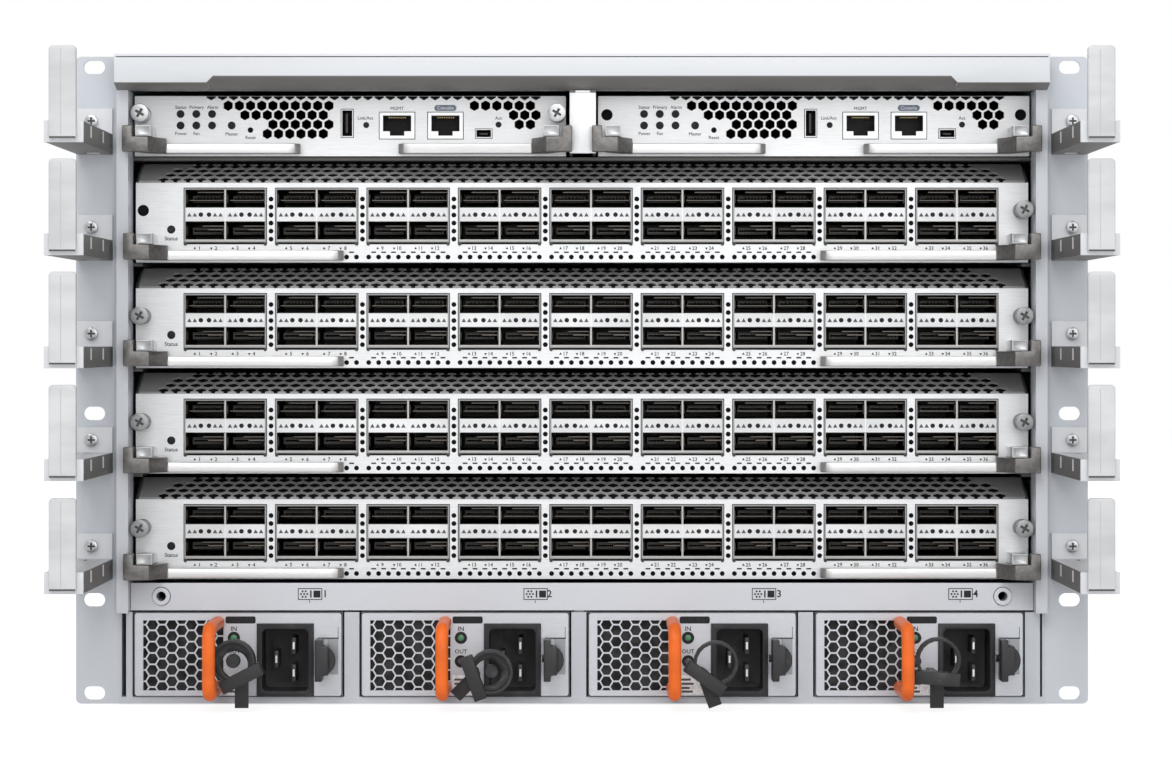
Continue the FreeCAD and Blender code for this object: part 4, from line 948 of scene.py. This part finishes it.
class ChassisPortNumbers(bpy.types.Operator):
    """Prints the port numbers and their arrows under the cages"""

    bl_idname = "chassis.port_numbers"
    bl_label = "Port numbers"

    def execute(self, context):
        plane = card_plane(CARDS[-1]) - 0.5
        height = context.scene.chassis_sizes.digit / MM
        line = 6.75
        prints = [words("Status", STATUS_X, 11.4, 1.9, plane)]
        for cage, left in enumerate(CAGES):
            for port, offset in enumerate((7.2, 15.1, 25.4, 33.3)):
                prints.append(words(str(cage * 4 + port + 1), left + offset, line, height, plane))
                prints.append(arrow(left + offset - 2.3, line, 1.5, plane, port % 2 == 0, "dark_ink"))
        on_each_card(merge(*prints), "port_numbers", "face_steel")
        return {"FINISHED"}


class ChassisScrews(bpy.types.Operator):
    """Adds the captive screws and status lamps of the line cards and modules"""

    bl_idname = "chassis.screws"
    bl_label = "Captive screws and lamps"

    def execute(self, context):
        for card in CARDS:
            base = corner(f"{card}_tray")
            plane = card_plane(card)
            sides = (1,) if card == CARDS[0] else (-1, 1)
            spots = [(side * SCREW_X, plane - 0.5, base.z + SCREW_Z) for side in sides]
            done(scattered(captive_screw("dull_screw"), spots), f"{card}_screws", card, "lever_metal")
            lamp_y = (plane - 0.45, plane - 0.05)
            lamp = drum(STATUS_X, base.z + STATUS_Z, 3.5, lamp_y, "grey_lamp", 20, 0.3, segments=2)
            done(lamp, f"{card}_status_lamp", card, "face_steel")
        module = MODULES[0]
        low, high = corners(f"{module}_tray")
        spots = [(x, card_plane(module), low.z + MODULE_SCREW_Z) for x in (low.x + 4.2, high.x - 4.2)]
        done(scattered(captive_screw("screw_steel"), spots), f"{module}_screws", module, "lever_metal")
        return {"FINISHED"}


class ChassisLevers(bpy.types.Operator):
    """Adds the cast ejector levers and the folded brackets over them"""

    bl_idname = "chassis.levers"
    bl_label = "Ejector levers"

    def execute(self, context):
        width = context.scene.chassis_sizes.edge_round / MM
        pivot_in = 2.4
        bracket_y, bracket_from, bracket_to = (-14.4, -5), 3.2, 10.6
        for card in CARDS + MODULES:
            near, far = corners(f"{card}_tray")
            brackets = []
            for side, way, edge in (("left", 1, near.x), ("right", -1, far.x)):
                node = f"{card}_lever_{side}"
                low, high = corners(node)
                pivot = low.x + pivot_in if way > 0 else high.x - pivot_in
                lever = softened(node, "lever_metal", width)
                pin = drum(0, 0, 3.2, (-0.5, 0.2), "screw_steel", 16, 0.2)
                pin.data.transform(Matrix.Rotation(math.pi / 2, 4, "X"))
                lever = merge(lever, moved(pin, pivot, low.y + 3, high.z))
                # Distances that place the lever finish's painted shade on the hub and at the tip.
                reach = lever.data.attributes.new("reach", "FLOAT", "POINT")
                tip = lever.data.attributes.new("tip", "FLOAT", "POINT")
                extent = (high.x - low.x - pivot_in) * MM
                for number, vertex in enumerate(lever.data.vertices):
                    reach.data[number].value = abs(vertex.co.x - pivot * MM)
                    tip.data[number].value = extent - reach.data[number].value
                done(lever, f"{node}_casting", node, "lever_metal", node)
                span = sorted((edge + way * bracket_from, edge + way * bracket_to))
                upright = (near.z + 8.35, near.z + 13.4)
                box = block(span, bracket_y, upright, "bracket_steel", 0.35, 2)
                brackets.append(sink(box, 0.55, 0.3))
            done(merge(*brackets), f"{card}_lever_brackets", card, "face_steel")
        return {"FINISHED"}


# ---------------------------------------------------------------- modules


def rim(x, z, y, look, wall):
    """A rectangular frame that faces the front."""
    outside = block(x, y, z, look, 0.12)
    inside = block((x[0] + wall, x[1] - wall), (y[0] - 1, y[1] + 1), (z[0] + wall, z[1] - wall), look)
    return carve(outside, inside)


def network_jack(left, low, plane):
    """A network jack's metal front with its stepped mouth and contacts."""
    middle, high = left + 8.45, low + 12.7
    through = around(plane, 2)
    shell = block(around(middle, 8.45), (plane - 0.4, plane - 0.02), (low, high), "bright_trim", 0.12)
    carve(shell, block(around(middle, 6.75), through, (low + 3.6, high - 1.5), "bright_trim"))
    carve(shell, block(around(middle, 3.45), through, (low + 1.5, low + 5), "bright_trim"))
    first = middle - 4.0
    contact_z = (high - 2.6, high - 2.3)
    contact = block((first, first + 0.4), (plane + 0.8, plane + 7), contact_z, "contact_gold")
    return merge(shell, row_of(contact, 8, 1.09))


class ChassisModules(bpy.types.Operator):
    """Adds the lamps, sockets and print of the management modules"""

    bl_idname = "chassis.modules"
    bl_label = "Management modules"

    def execute(self, context):
        plane = card_plane(MODULES[0])
        flat = (plane - 0.03, plane - 0.01)
        frame_y = (plane - 0.3, plane - 0.02)
        wide = context.scene.chassis_sizes.lamp / MM
        lamps = []
        for x, z in [(x, z) for x in (22.0, 29.55, 37.1) for z in (20.2, 14.7)] + [(46.5, 14.7)]:
            lamps.append(drum(x, z, wide, (plane - 0.35, plane - 0.02), "grey_lamp", 20, 0.25))
        for x, z in ((111.05, 14.9), (174.5, 15.1)):
            lamps.append(drum(x, z, 2.9, (plane - 0.25, plane - 0.02), "grey_lamp", 16, 0.2))
        # Painted shade: dark patches for the reset hole and the row of vent holes.
        lamps.append(drum(55.5, 12.5, 2.7, flat, "dark_hollow", 16))
        row = row_of(drum(36.7, 29.3, 5.1, flat, "dark_hollow", 6), 30, 5.37)
        carve(row, block((0, 240), around(plane, 2), (28.7, 36), "dark_hollow"))
        jacks = [network_jack(left, 8.3, plane) for left in (117.4, 140.6)]
        usb = rim((99.1, 104.8), (9.1, 22.4), frame_y, "bright_trim", 0.45)
        tongue = block((101.1, 102.3), (plane + 0.5, plane + 9), (11.0, 20.6), "contact_plastic", 0.2)
        slot = rim((163.5, 171.3), (8.7, 13.0), frame_y, "bright_trim", 0.4)
        blade = block((165.4, 169.4), (plane + 0.5, plane + 7), (10.3, 11.1), "contact_plastic", 0.1)
        labels = {
            23.4: {"Status": 22.0, "Primary": 29.7, "Alarm": 37.4},
            22.8: {"MGMT": 125.8},
            18.2: {"Link/Act": 110.6, "Act": 174.5},
            10.8: {"Power": 22.2, "Fan": 29.6},
            10.6: {"Master": 46.5},
            8.9: {"Reset": 55.5},
        }
        prints = [
            words(text, x, z, 1.6, plane, "grey_ink")
            for z, line in labels.items()
            for text, x in line.items()
        ]
        prints.append(sign(149.0, 23.1, 10.6, 2.9, plane - 0.02, "blue_ink", 1.4))
        prints.append(words("Console", 149.0, 23.1, 1.7, plane - 0.1, "white_label"))
        trim = merge(*lamps, row, *jacks, usb, tongue, slot, blade, *prints)
        for module in MODULES:
            low, high = corners(f"{module}_tray")
            done(another(trim, x=low.x, z=low.z), f"{module}_front_parts", module, "face_steel")
        bpy.data.objects.remove(trim)
        ends = (low.x + 4.2, high.x - 4.2)
        # Painted shade: dark discs for the second module's screw holes.
        holes = [drum(x, low.z + MODULE_SCREW_Z, 5.5, flat, "dark_hollow", 20) for x in ends]
        done(merge(*holes), f"{MODULES[1]}_screw_holes", MODULES[1], "face_steel")
        return {"FINISHED"}


# ---------------------------------------------------------------- case


def facing(piece, way):
    """Turns a small part that faces the front to face another way."""
    turns = {"rear": (math.pi, "Z"), "left": (-math.pi / 2, "Z"), "right": (math.pi / 2, "Z")}
    angle, axis = turns[way]
    piece.data.transform(Matrix.Rotation(angle, 4, axis))
    return piece


class ChassisCase(bpy.types.Operator):
    """Adds the fascia, the centre divider and the case's screws"""

    bl_idname = "chassis.case"
    bl_label = "Case"

    def execute(self, context):
        fascia = dress(softened("top_fascia", "fascia_coat", 0.5), "fascia_shadow")
        for face in fascia.data.polygons:
            face.material_index = 1 if face.normal.z < -0.25 else 0
        done(fascia, "fascia_cover", "chassis", "fascia_paint", "top_fascia")
        low, high = corners("top_fascia")
        lid = far_corner("side_walls").z
        # Painted shade: a dark line in the joint between the cover and the fascia.
        seam_y, seam_z = (low.y - 0.02, low.y + 0.1), (lid - 0.15, lid + 0.3)
        seam = block((low.x + 1, high.x - 1), seam_y, seam_z, "dark_ink")
        done(seam, "fascia_seam", "chassis", "fascia_paint")
        cage = corner("card_cage")
        post_y, post_top = (cage.y - 0.6, cage.y - 0.05), 290.8
        post = block((-5.9, 6.6), post_y, (262.0, post_top), "post_steel", 0.4, 2)
        tab = block((-3.2, 3.9), post_y, (post_top, post_top + 1.1), "post_steel", 0.2)
        done(merge(post, tab), "centre_divider", "chassis", "cage_steel")
        walls = far_corner("side_walls")
        for name, side in (("left", -1), ("right", 1)):
            screw = facing(pan_screw(6.4, 0.9, "ear_screw"), name)
            spots = [(0, y, z) for y in (45, 160, 300, 440, 560, 635) for z in (28, 154, 290)]
            rows = scattered(screw, spots)
            done(moved(rows, x=side * (walls.x + 0.02)), f"{name}_wall_screws", "chassis", "case_paint")
        return {"FINISHED"}


class ChassisStrip(bpy.types.Operator):
    """Adds the label strip's print and the rings of its wrist-strap jacks"""

    bl_idname = "chassis.strip"
    bl_label = "Label strip"

    def execute(self, context):
        plane = corner("power_shelf").y + 1.0
        middle, jack = 52.25, 51.2
        ink_y, through = (plane - 0.06, plane), around(plane, 3)
        dots = ((0, 0), (-1.5, 0), (1.5, 0), (-0.75, 1.3), (0.75, 1.3), (-0.75, -1.3), (0.75, -1.3))
        places = ((-135.5, -122.5), (-27.9, -15.5), (81.0, 94.0), (174.7, 187.7))
        prints = []
        for number, (left, digit) in enumerate(places):
            prints.append(rim((left, left + 11.6), around(middle, 2.8), ink_y, "dark_ink", 0.38))
            for x, z in dots:
                prints.append(drum(left + 3.0 + x, middle + z, 0.95, ink_y, "dark_ink", 12))
            prints.append(sign(left + 6.2, middle, 0.7, 3.4, plane))
            prints.append(sign(left + 9.1, middle, 3.3, 3.3, plane))
            prints.append(sign(left + 5.6, middle - 3.6, 0.35, 1.1, plane))
            prints.append(words(str(number + 1), digit, middle, 3.5, plane))
        done(merge(*prints), "strip_print", "chassis", "shelf_paint")
        rings = []
        ring_y = (plane - 0.95, plane - 0.02)
        for x in (-200.6, 200.6):
            ring = drum(x, jack, 8.6, ring_y, "bright_trim", 6, 0.2, turn=math.radians(10))
            carve(ring, drum(x, jack, 5.9, through, "bright_trim", 28))
            lip = drum(x, jack, 6.4, (plane - 0.98, plane - 0.1), "screw_steel", 28)
            carve(lip, drum(x, jack, 4.7, through, "dark_hollow", 28))
            rings += [ring, lip]
        done(merge(*rings), "jack_rings", "chassis", "shelf_paint")
        return {"FINISHED"}


class ChassisArms(bpy.types.Operator):
    """Adds the cable arms with their screws, and the moulded fingers"""

    bl_idname = "chassis.arms"
    bl_label = "Cable arms"

    def execute(self, context):
        arms = dress(softened("cable_arms", "arm_coat", 0.35), "arm_inside", "arm_collar")
        front = corner("cable_arms").y * MM
        # Painted shade on the inner walls and undersides; painted highlight on the front plates and flanges.
        for face in arms.data.polygons:
            deep = front + 4 * MM < face.center.y < -2 * MM
            if deep and (face.normal.z < -0.9 or abs(face.normal.x) > 0.9):
                face.material_index = 1
            elif face.center.y <= front + 3 * MM or face.center.y > -3 * MM:
                face.material_index = 2
        done(arms, "cable_arm_covers", "chassis", "arm_paint", "cable_arms")
        fingers = softened("cable_fingers", "finger_plastic", 0.7, 3)
        low = corner("cable_fingers")
        flat = (low.y - 0.03, low.y)
        trims = []
        # Painted shade: a dark line down each finger's crease and a near-black band along its foot.
        for near, far in ((-238.1, -226.4), (226.4, 238.1)):
            crease_x = (near + 5.0, near + 5.35)
            trims.append(block(crease_x, flat, (low.z + 2, low.z + 40), "finger_crease"))
            trims.append(block((near, far), flat, (low.z + 0.3, low.z + 1.1), "finger_foot"))
        trims = scattered(merge(*trims), [(0, 0, ARM_PITCH * number) for number in range(5)])
        done(merge(fingers, trims), "finger_covers", "chassis", "finger_plastic", "cable_fingers")
        rises = [75.2 + ARM_PITCH * number for number in range(5)]
        wall, screw_x = 223.68, 233.6
        # Painted light: pale patches on the inner walls where the backdrop shows through the slots.
        slots = [
            block(across, (y, y + 4.5), (rise - 12.2, rise - 6.9), "arm_slot")
            for across in ((-wall, 0.04 - wall), (wall - 0.04, wall))
            for y in (-78, -37)
            for rise in rises
        ]
        done(merge(*slots), "arm_slots", "chassis", "arm_paint")
        spots = [(x, -1.5, rise) for x in (-screw_x, screw_x) for rise in rises]
        screws = scattered(pan_screw(6.2, 2.2), spots)
        done(screws, "arm_screws", "chassis", "ear_paint")
        return {"FINISHED"}


# ---------------------------------------------------------------- power supplies


def supply_face(left, top, right, foot, plane):
    """One supply's face plate with its openings, label, sticker, printed words and lamps."""
    through = around(plane, 3)
    plate_y = (plane - 0.5, plane - 0.06)
    cover = plate((left + 0.45, right - 0.45), (foot + 0.35, top - 0.35), plate_y, "supply_face", 1.1)
    latch_x, latch_z = left + 97.3, (top - 29.5, top - 12.4)
    openings = (
        ((left + 4.3, left + 42.9), (foot + 2.9, top - 2.9)),
        ((left + 58.5, left + 85.8), (foot - 0.1, top - 5.2)),
        ((left + 85.7, latch_x), latch_z),
    )
    for across, upright in openings:
        carve(cover, block(across, through, upright, "supply_face"))
    # Painted shade: a thin dark sheet behind the plate's edges for the gap around it; the dark line above the window
    # is a painted shadow.
    seam_y, seam_z = (plane - 0.05, plane - 0.03), (foot + 0.05, top - 0.05)
    seam = block((left + 0.05, right - 0.05), seam_y, seam_z, "dark_ink")
    carve(seam, block((left + 3, left + 98), through, (foot + 1, top - 1), "dark_ink"))
    front_y = plane - 0.5
    window_y = (plane - 0.4, plane - 0.03)
    window = block((latch_x - 5, latch_x), window_y, latch_z, "window_steel", 0.15)
    shadow_y, shadow_z = (front_y - 0.1, plane - 0.03), (top - 12.5, top - 12.0)
    shadow = block((left + 87.6, left + 97.6), shadow_y, shadow_z, "dark_ink")
    label = sign(left + 50.8, top - 3.6, 14.4, 3.4, front_y, "dark_ink", 0.9)
    sticker_x, sticker_z = left + 49.1, top - 34.6
    sticker = sign(sticker_x, sticker_z, 11.0, 9.3, front_y, "white_label", 0.4)
    marks = [
        sign(sticker_x + x, sticker_z + z, wide, 1.0, front_y - 0.05, "grey_ink")
        for x, z, wide in ((-2.4, 2.6, 4.4), (-1.7, 0.6, 5.8), (-2.6, -1.4, 4.0), (-1.9, -3.1, 5.4))
    ]
    lamp_x = left + 47.6
    marks.append(words("IN", lamp_x, top - 7.9, 2.2, front_y))
    marks.append(words("OUT", lamp_x, top - 18.7, 2.0, front_y))
    marks.append(sign(latch_x, top - 9.6, 0.25, 5.5, front_y))
    for height, look in ((top - 12.1, "green_lamp"), (top - 23.3, "violet_lamp")):
        lamp_y = (front_y - 0.75, front_y - 0.2)
        marks.append(drum(lamp_x, height, 5.9, (front_y - 0.3, front_y), "dark_ink", 28, 0.2))
        marks.append(drum(lamp_x, height, 3.0, lamp_y, look, 20, 0.3, segments=2))
    return merge(cover, seam, window, shadow, label, sticker, *marks)


def supply_grille(left, top, plane):
    """One supply's honeycomb plate in front of a dark backing."""
    low, high = corners(f"{SUPPLIES[0]}_vent")
    grille = block((low.x, high.x), (plane, plane + 1.1), (low.z, high.z), "vent_steel")
    hexagon = drum(0, 0, 5.43, (plane - 1, plane + 2), "vent_steel", 6, turn=math.radians(30))
    column_step, row_step = 4.65, 5.4
    spots = []
    for column in range(9):
        lowered = 0 if column % 2 else row_step / 2
        first = top - 0.5 - lowered
        spots += [(left + 4.1 + column_step * column, 0, first - row_step * row) for row in range(8)]
    field = block((left + 4.4, left + 42.6), (plane - 2, plane + 3), (top - 37.2, top - 3.8), "vent_steel")
    settings = {"operation": "INTERSECT", "object": field, "solver": "EXACT"}
    holes = applied(scattered(hexagon, spots), "BOOLEAN", **settings)
    bpy.data.objects.remove(field)
    carve(grille, holes)
    # Painted shade: a dark backing behind the honeycomb for the supply's shaded inside.
    backing_x, backing_y = (low.x + 0.3, high.x - 0.3), (plane + 3.4, plane + 3.6)
    return merge(grille, block(backing_x, backing_y, (low.z, high.z), "vent_hollow"))


def supply_inlet(supply):
    """The mains inlet's shell with its three blades in painted shade, and slim painted highlights on the blade ends.
    """
    inlet = dress(softened(f"{supply}_inlet", "inlet_plastic", 0.45, 3), "blade_shade")
    low, high = corners(f"{supply}_inlet")
    for face in inlet.data.polygons:
        x, y, z = face.center / MM
        if -1 < y < 16 and low.x + 5 < x < high.x - 5 and low.z + 4.5 < z < high.z - 4.5:
            face.material_index = 1
    middle = (low + high) / 2
    tip_highlights = []
    for x, z in ((3.7, 6.5), (3.7, -6.5), (-4.6, 0.0)):
        tip_z = around(middle.z + z, 1.7)
        tip_highlights.append(block(around(middle.x + x, 0.45), (1.9, 1.99), tip_z, "blade_metal"))
    return merge(inlet, *tip_highlights)


def supply_latch(supply):
    """The thumb latch with its rounded bulge, cut straight at the left."""
    latch = softened(f"{supply}_latch", "latch_plastic", 0.5, 3)
    near, far = corners(f"{supply}_latch")
    middle = (near.z + far.z) / 2
    bulge = drum(far.x - 4.4, middle, 15.2, (near.y + 3, near.y + 5.5), "latch_plastic", 40, 0.4)
    beside, upright = (near.x - 9, near.x + 0.6), (near.z - 9, far.z + 9)
    carve(bulge, block(beside, (near.y, far.y), upright, "latch_plastic"))
    return merge(latch, bulge)


class ChassisSupplies(bpy.types.Operator):
    """Adds the power supplies' face plates, inlets, grips, latches and ties"""

    bl_idname = "chassis.supplies"
    bl_label = "Power supplies"

    def execute(self, context):
        low, high = corners(f"{SUPPLIES[0]}_case")
        trim = supply_face(low.x, high.z, high.x, low.z, low.y)
        grille = supply_grille(low.x, high.z, low.y)
        turns = (-27, 70, None, None)
        for supply, turn in zip(SUPPLIES, turns):
            left = corner(f"{supply}_case").x
            shift = left - low.x
            done(another(trim, x=shift), f"{supply}_face", supply, "supply_steel")
            done(another(grille, x=shift), f"{supply}_grille", supply, "supply_steel", f"{supply}_vent")
            inlet = supply_inlet(supply)
            done(inlet, f"{supply}_inlet_shell", supply, "inlet_plastic", f"{supply}_inlet")
            grip = softened(f"{supply}_grip", "grip_coating", 2.7, 5, 60)
            done(grip, f"{supply}_grip_cover", supply, "grip_plastic", f"{supply}_grip")
            tie = softened(f"{supply}_tie", "tie_nylon", 0.3)
            if turn is not None:
                web = drum(0, 8.6, 18.4, (-36.5, -33), "tie_nylon", 40, 0.4)
                carve(web, drum(0, 7.2, 12.4, (-40, -30), "tie_nylon", 40))
                web = merge(web, drum(0, 8.9, 6.6, (-36, -32.5), "tie_nylon", 32, 0.4))
                web.data.transform(Matrix.Rotation(math.radians(turn), 4, "Y"))
                tie = merge(tie, moved(web, left + 54.6, 0, low.z + 12))
            done(tie, f"{supply}_tie_strap", supply, "tie_nylon", f"{supply}_tie")
            latch = supply_latch(supply)
            done(latch, f"{supply}_latch_cap", f"{supply}_latch", "latch_plastic", f"{supply}_latch")
        bpy.data.objects.remove(trim)
        bpy.data.objects.remove(grille)
        return {"FINISHED"}


# ---------------------------------------------------------------- fan trays


class ChassisFans(bpy.types.Operator):
    """Adds the rotors and screws of the fan trays"""

    bl_idname = "chassis.fans"
    bl_label = "Fan trays"

    def execute(self, context):
        blades, pitch = 7, math.radians(38)
        for tray in FAN_TRAYS:
            low, high = corners(tray)
            middle, centre = (low.x + high.x) / 2, (low.z + high.z) / 2
            back = far_corner("side_walls").y
            rotors = []
            for height in around(centre, 70):
                rotors.append(drum(middle, height, 46.4, (back - 27, back - 1.6), "fan_plastic", 48, 1.0))
                for number in range(blades):
                    blade = block((24, 53), (-1.0, 1.0), (-9, 9), "fan_plastic", 0.4)
                    blade.data.transform(Matrix.Rotation(pitch, 4, "X"))
                    blade.data.transform(Matrix.Rotation(math.tau * number / blades, 4, "Y"))
                    rotors.append(moved(blade, middle, back - 16, height))
            done(merge(*rotors), f"{tray}_rotors", tray, "fan_paint")
            screw = facing(pan_screw(7.0, 1.4), "rear")
            across, heights = (low.x + 8, high.x - 8), (low.z + 10, high.z - 10)
            screws = scattered(screw, [(x, back + 0.02, z) for x in across for z in heights])
            done(screws, f"{tray}_screws", tray, "fan_paint")
        return {"FINISHED"}


# ---------------------------------------------------------------- stage


def area_lamp(name, place, aim, size, power):
    """A soft rectangular lamp aimed at a point; places in metres."""
    bpy.ops.object.light_add(type="AREA", location=place)
    lamp = bpy.context.object
    lamp.name = name
    lamp.data.shape = "RECTANGLE"
    lamp.data.size, lamp.data.size_y = size
    lamp.data.energy = power
    lamp.rotation_euler = (Vector(aim) - Vector(place)).to_track_quat("-Z", "Y").to_euler()
    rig.stage(lamp)


class ChassisStage(bpy.types.Operator):
    """Sets the white floor and backdrop, the lamps and the camera"""

    bl_idname = "chassis.stage"
    bl_label = "Stage"

    def execute(self, context):
        scene = context.scene
        scene.view_settings.view_transform = "Standard"
        deselect()
        bpy.ops.mesh.primitive_plane_add(size=12, location=(0, 0, -0.0006))
        floor = settle()
        floor.name = "floor"
        look = Look("floor_white", Roughness=0.9)
        grain = look.noise(30, 2)
        tone = look.mix(grain, (0.84, 0.84, 0.84), (0.86, 0.86, 0.86))
        look.surface(tone, grain * 0.02 + 0.88, grain, 0.02, 0.0001)
        seen = look.add("ShaderNodeLightPath", {})
        glow = look.add("ShaderNodeEmission", {}, (1, 1, 1, 1), 1.26)
        own = Wire(look, look.shader.outputs[0])
        blend = look.add("ShaderNodeMixShader", {}, seen * 0.68, own, glow)
        look.feed(look.tree.nodes["Material Output"].inputs["Surface"], blend)
        dress(floor, "floor_white")
        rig.stage(floor)

        world = bpy.data.worlds.new("white_room")
        scene.world = world
        world.use_nodes = True
        tree = world.node_tree
        rays = tree.nodes.new("ShaderNodeLightPath")
        choice = tree.nodes.new("ShaderNodeMixShader")
        tree.links.new(rays.outputs["Is Camera Ray"], choice.inputs[0])
        room, backdrop = tree.nodes["Background"], tree.nodes.new("ShaderNodeBackground")
        for number, (light, strength) in enumerate(((room, 0.55), (backdrop, 1.0)), start=1):
            light.inputs["Color"].default_value = (1, 1, 1, 1)
            light.inputs["Strength"].default_value = strength
            tree.links.new(light.outputs[0], choice.inputs[number])
        tree.links.new(choice.outputs[0], tree.nodes["World Output"].inputs["Surface"])

        front = (0, 0, 0.15)
        area_lamp("key", (-0.5, -2.0, 2.2), front, (2.2, 1.2), 34)
        area_lamp("front_fill", (0.6, -2.6, 0.9), front, (2.6, 1.6), 18)
        area_lamp("rear_fill", (0, 3.2, 1.8), (0, 0.6, 0.15), (2.2, 1.4), 34)

        bpy.ops.object.camera_add(location=(0, -1.7, 0.171), rotation=(math.pi / 2, 0, 0))
        camera = bpy.context.object
        camera.name = "camera"
        camera.data.lens = 109.5
        camera.data.sensor_width = 36
        camera.data.shift_x = 0.0034
        camera.data.shift_y = -0.0307
        camera.data.clip_end = 100
        scene.camera = camera
        return {"FINISHED"}


# ---------------------------------------------------------------- panel and registration

PIECES = (
    ChassisSheet,
    ChassisCardFaces,
    ChassisCardBevels,
    ChassisPorts,
    ChassisPortNumbers,
    ChassisScrews,
    ChassisLevers,
    ChassisModules,
    ChassisCase,
    ChassisStrip,
    ChassisArms,
    ChassisSupplies,
    ChassisFans,
    ChassisStage,
)


class CHASSIS_PT_panel(bpy.types.Panel):
    """Sizes, colours and steps of the chassis"""

    bl_idname = "CHASSIS_PT_panel"
    bl_label = "Chassis"
    bl_space_type = "VIEW_3D"
    bl_region_type = "UI"
    bl_category = "Chassis"

    def draw(self, context):
        for group in (context.scene.chassis_sizes, context.scene.chassis_colours):
            box = self.layout.box()
            for name in type(group).__annotations__:
                box.prop(group, name)
        for piece in PIECES:
            self.layout.operator(piece.bl_idname)


def register():
    for kind in (ChassisSizes, ChassisColours, *PIECES, CHASSIS_PT_panel):
        bpy.utils.register_class(kind)
    bpy.types.Scene.chassis_sizes = PointerProperty(type=ChassisSizes)
    bpy.types.Scene.chassis_colours = PointerProperty(type=ChassisColours)


def unregister():
    del bpy.types.Scene.chassis_colours
    del bpy.types.Scene.chassis_sizes
    for kind in reversed((ChassisSizes, ChassisColours, *PIECES, CHASSIS_PT_panel)):
        bpy.utils.unregister_class(kind)


def main():
    register()
    make_looks()
    bpy.ops.chassis.sheet()
    bpy.ops.chassis.card_faces()
    bpy.ops.chassis.card_bevels()
    bpy.ops.chassis.ports()
    bpy.ops.chassis.port_numbers()
    bpy.ops.chassis.screws()
    bpy.ops.chassis.levers()
    bpy.ops.chassis.modules()
    bpy.ops.chassis.case()
    bpy.ops.chassis.strip()
    bpy.ops.chassis.arms()
    bpy.ops.chassis.supplies()
    bpy.ops.chassis.fans()
    bpy.ops.chassis.stage()
    boxes = {"cad": [list(point) for point in CAD_BOX], "visual": [list(point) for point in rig.bounds()]}
    with open("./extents.json", "w") as file:
        json.dump(boxes, file)


if __name__ == "__main__":
    main()
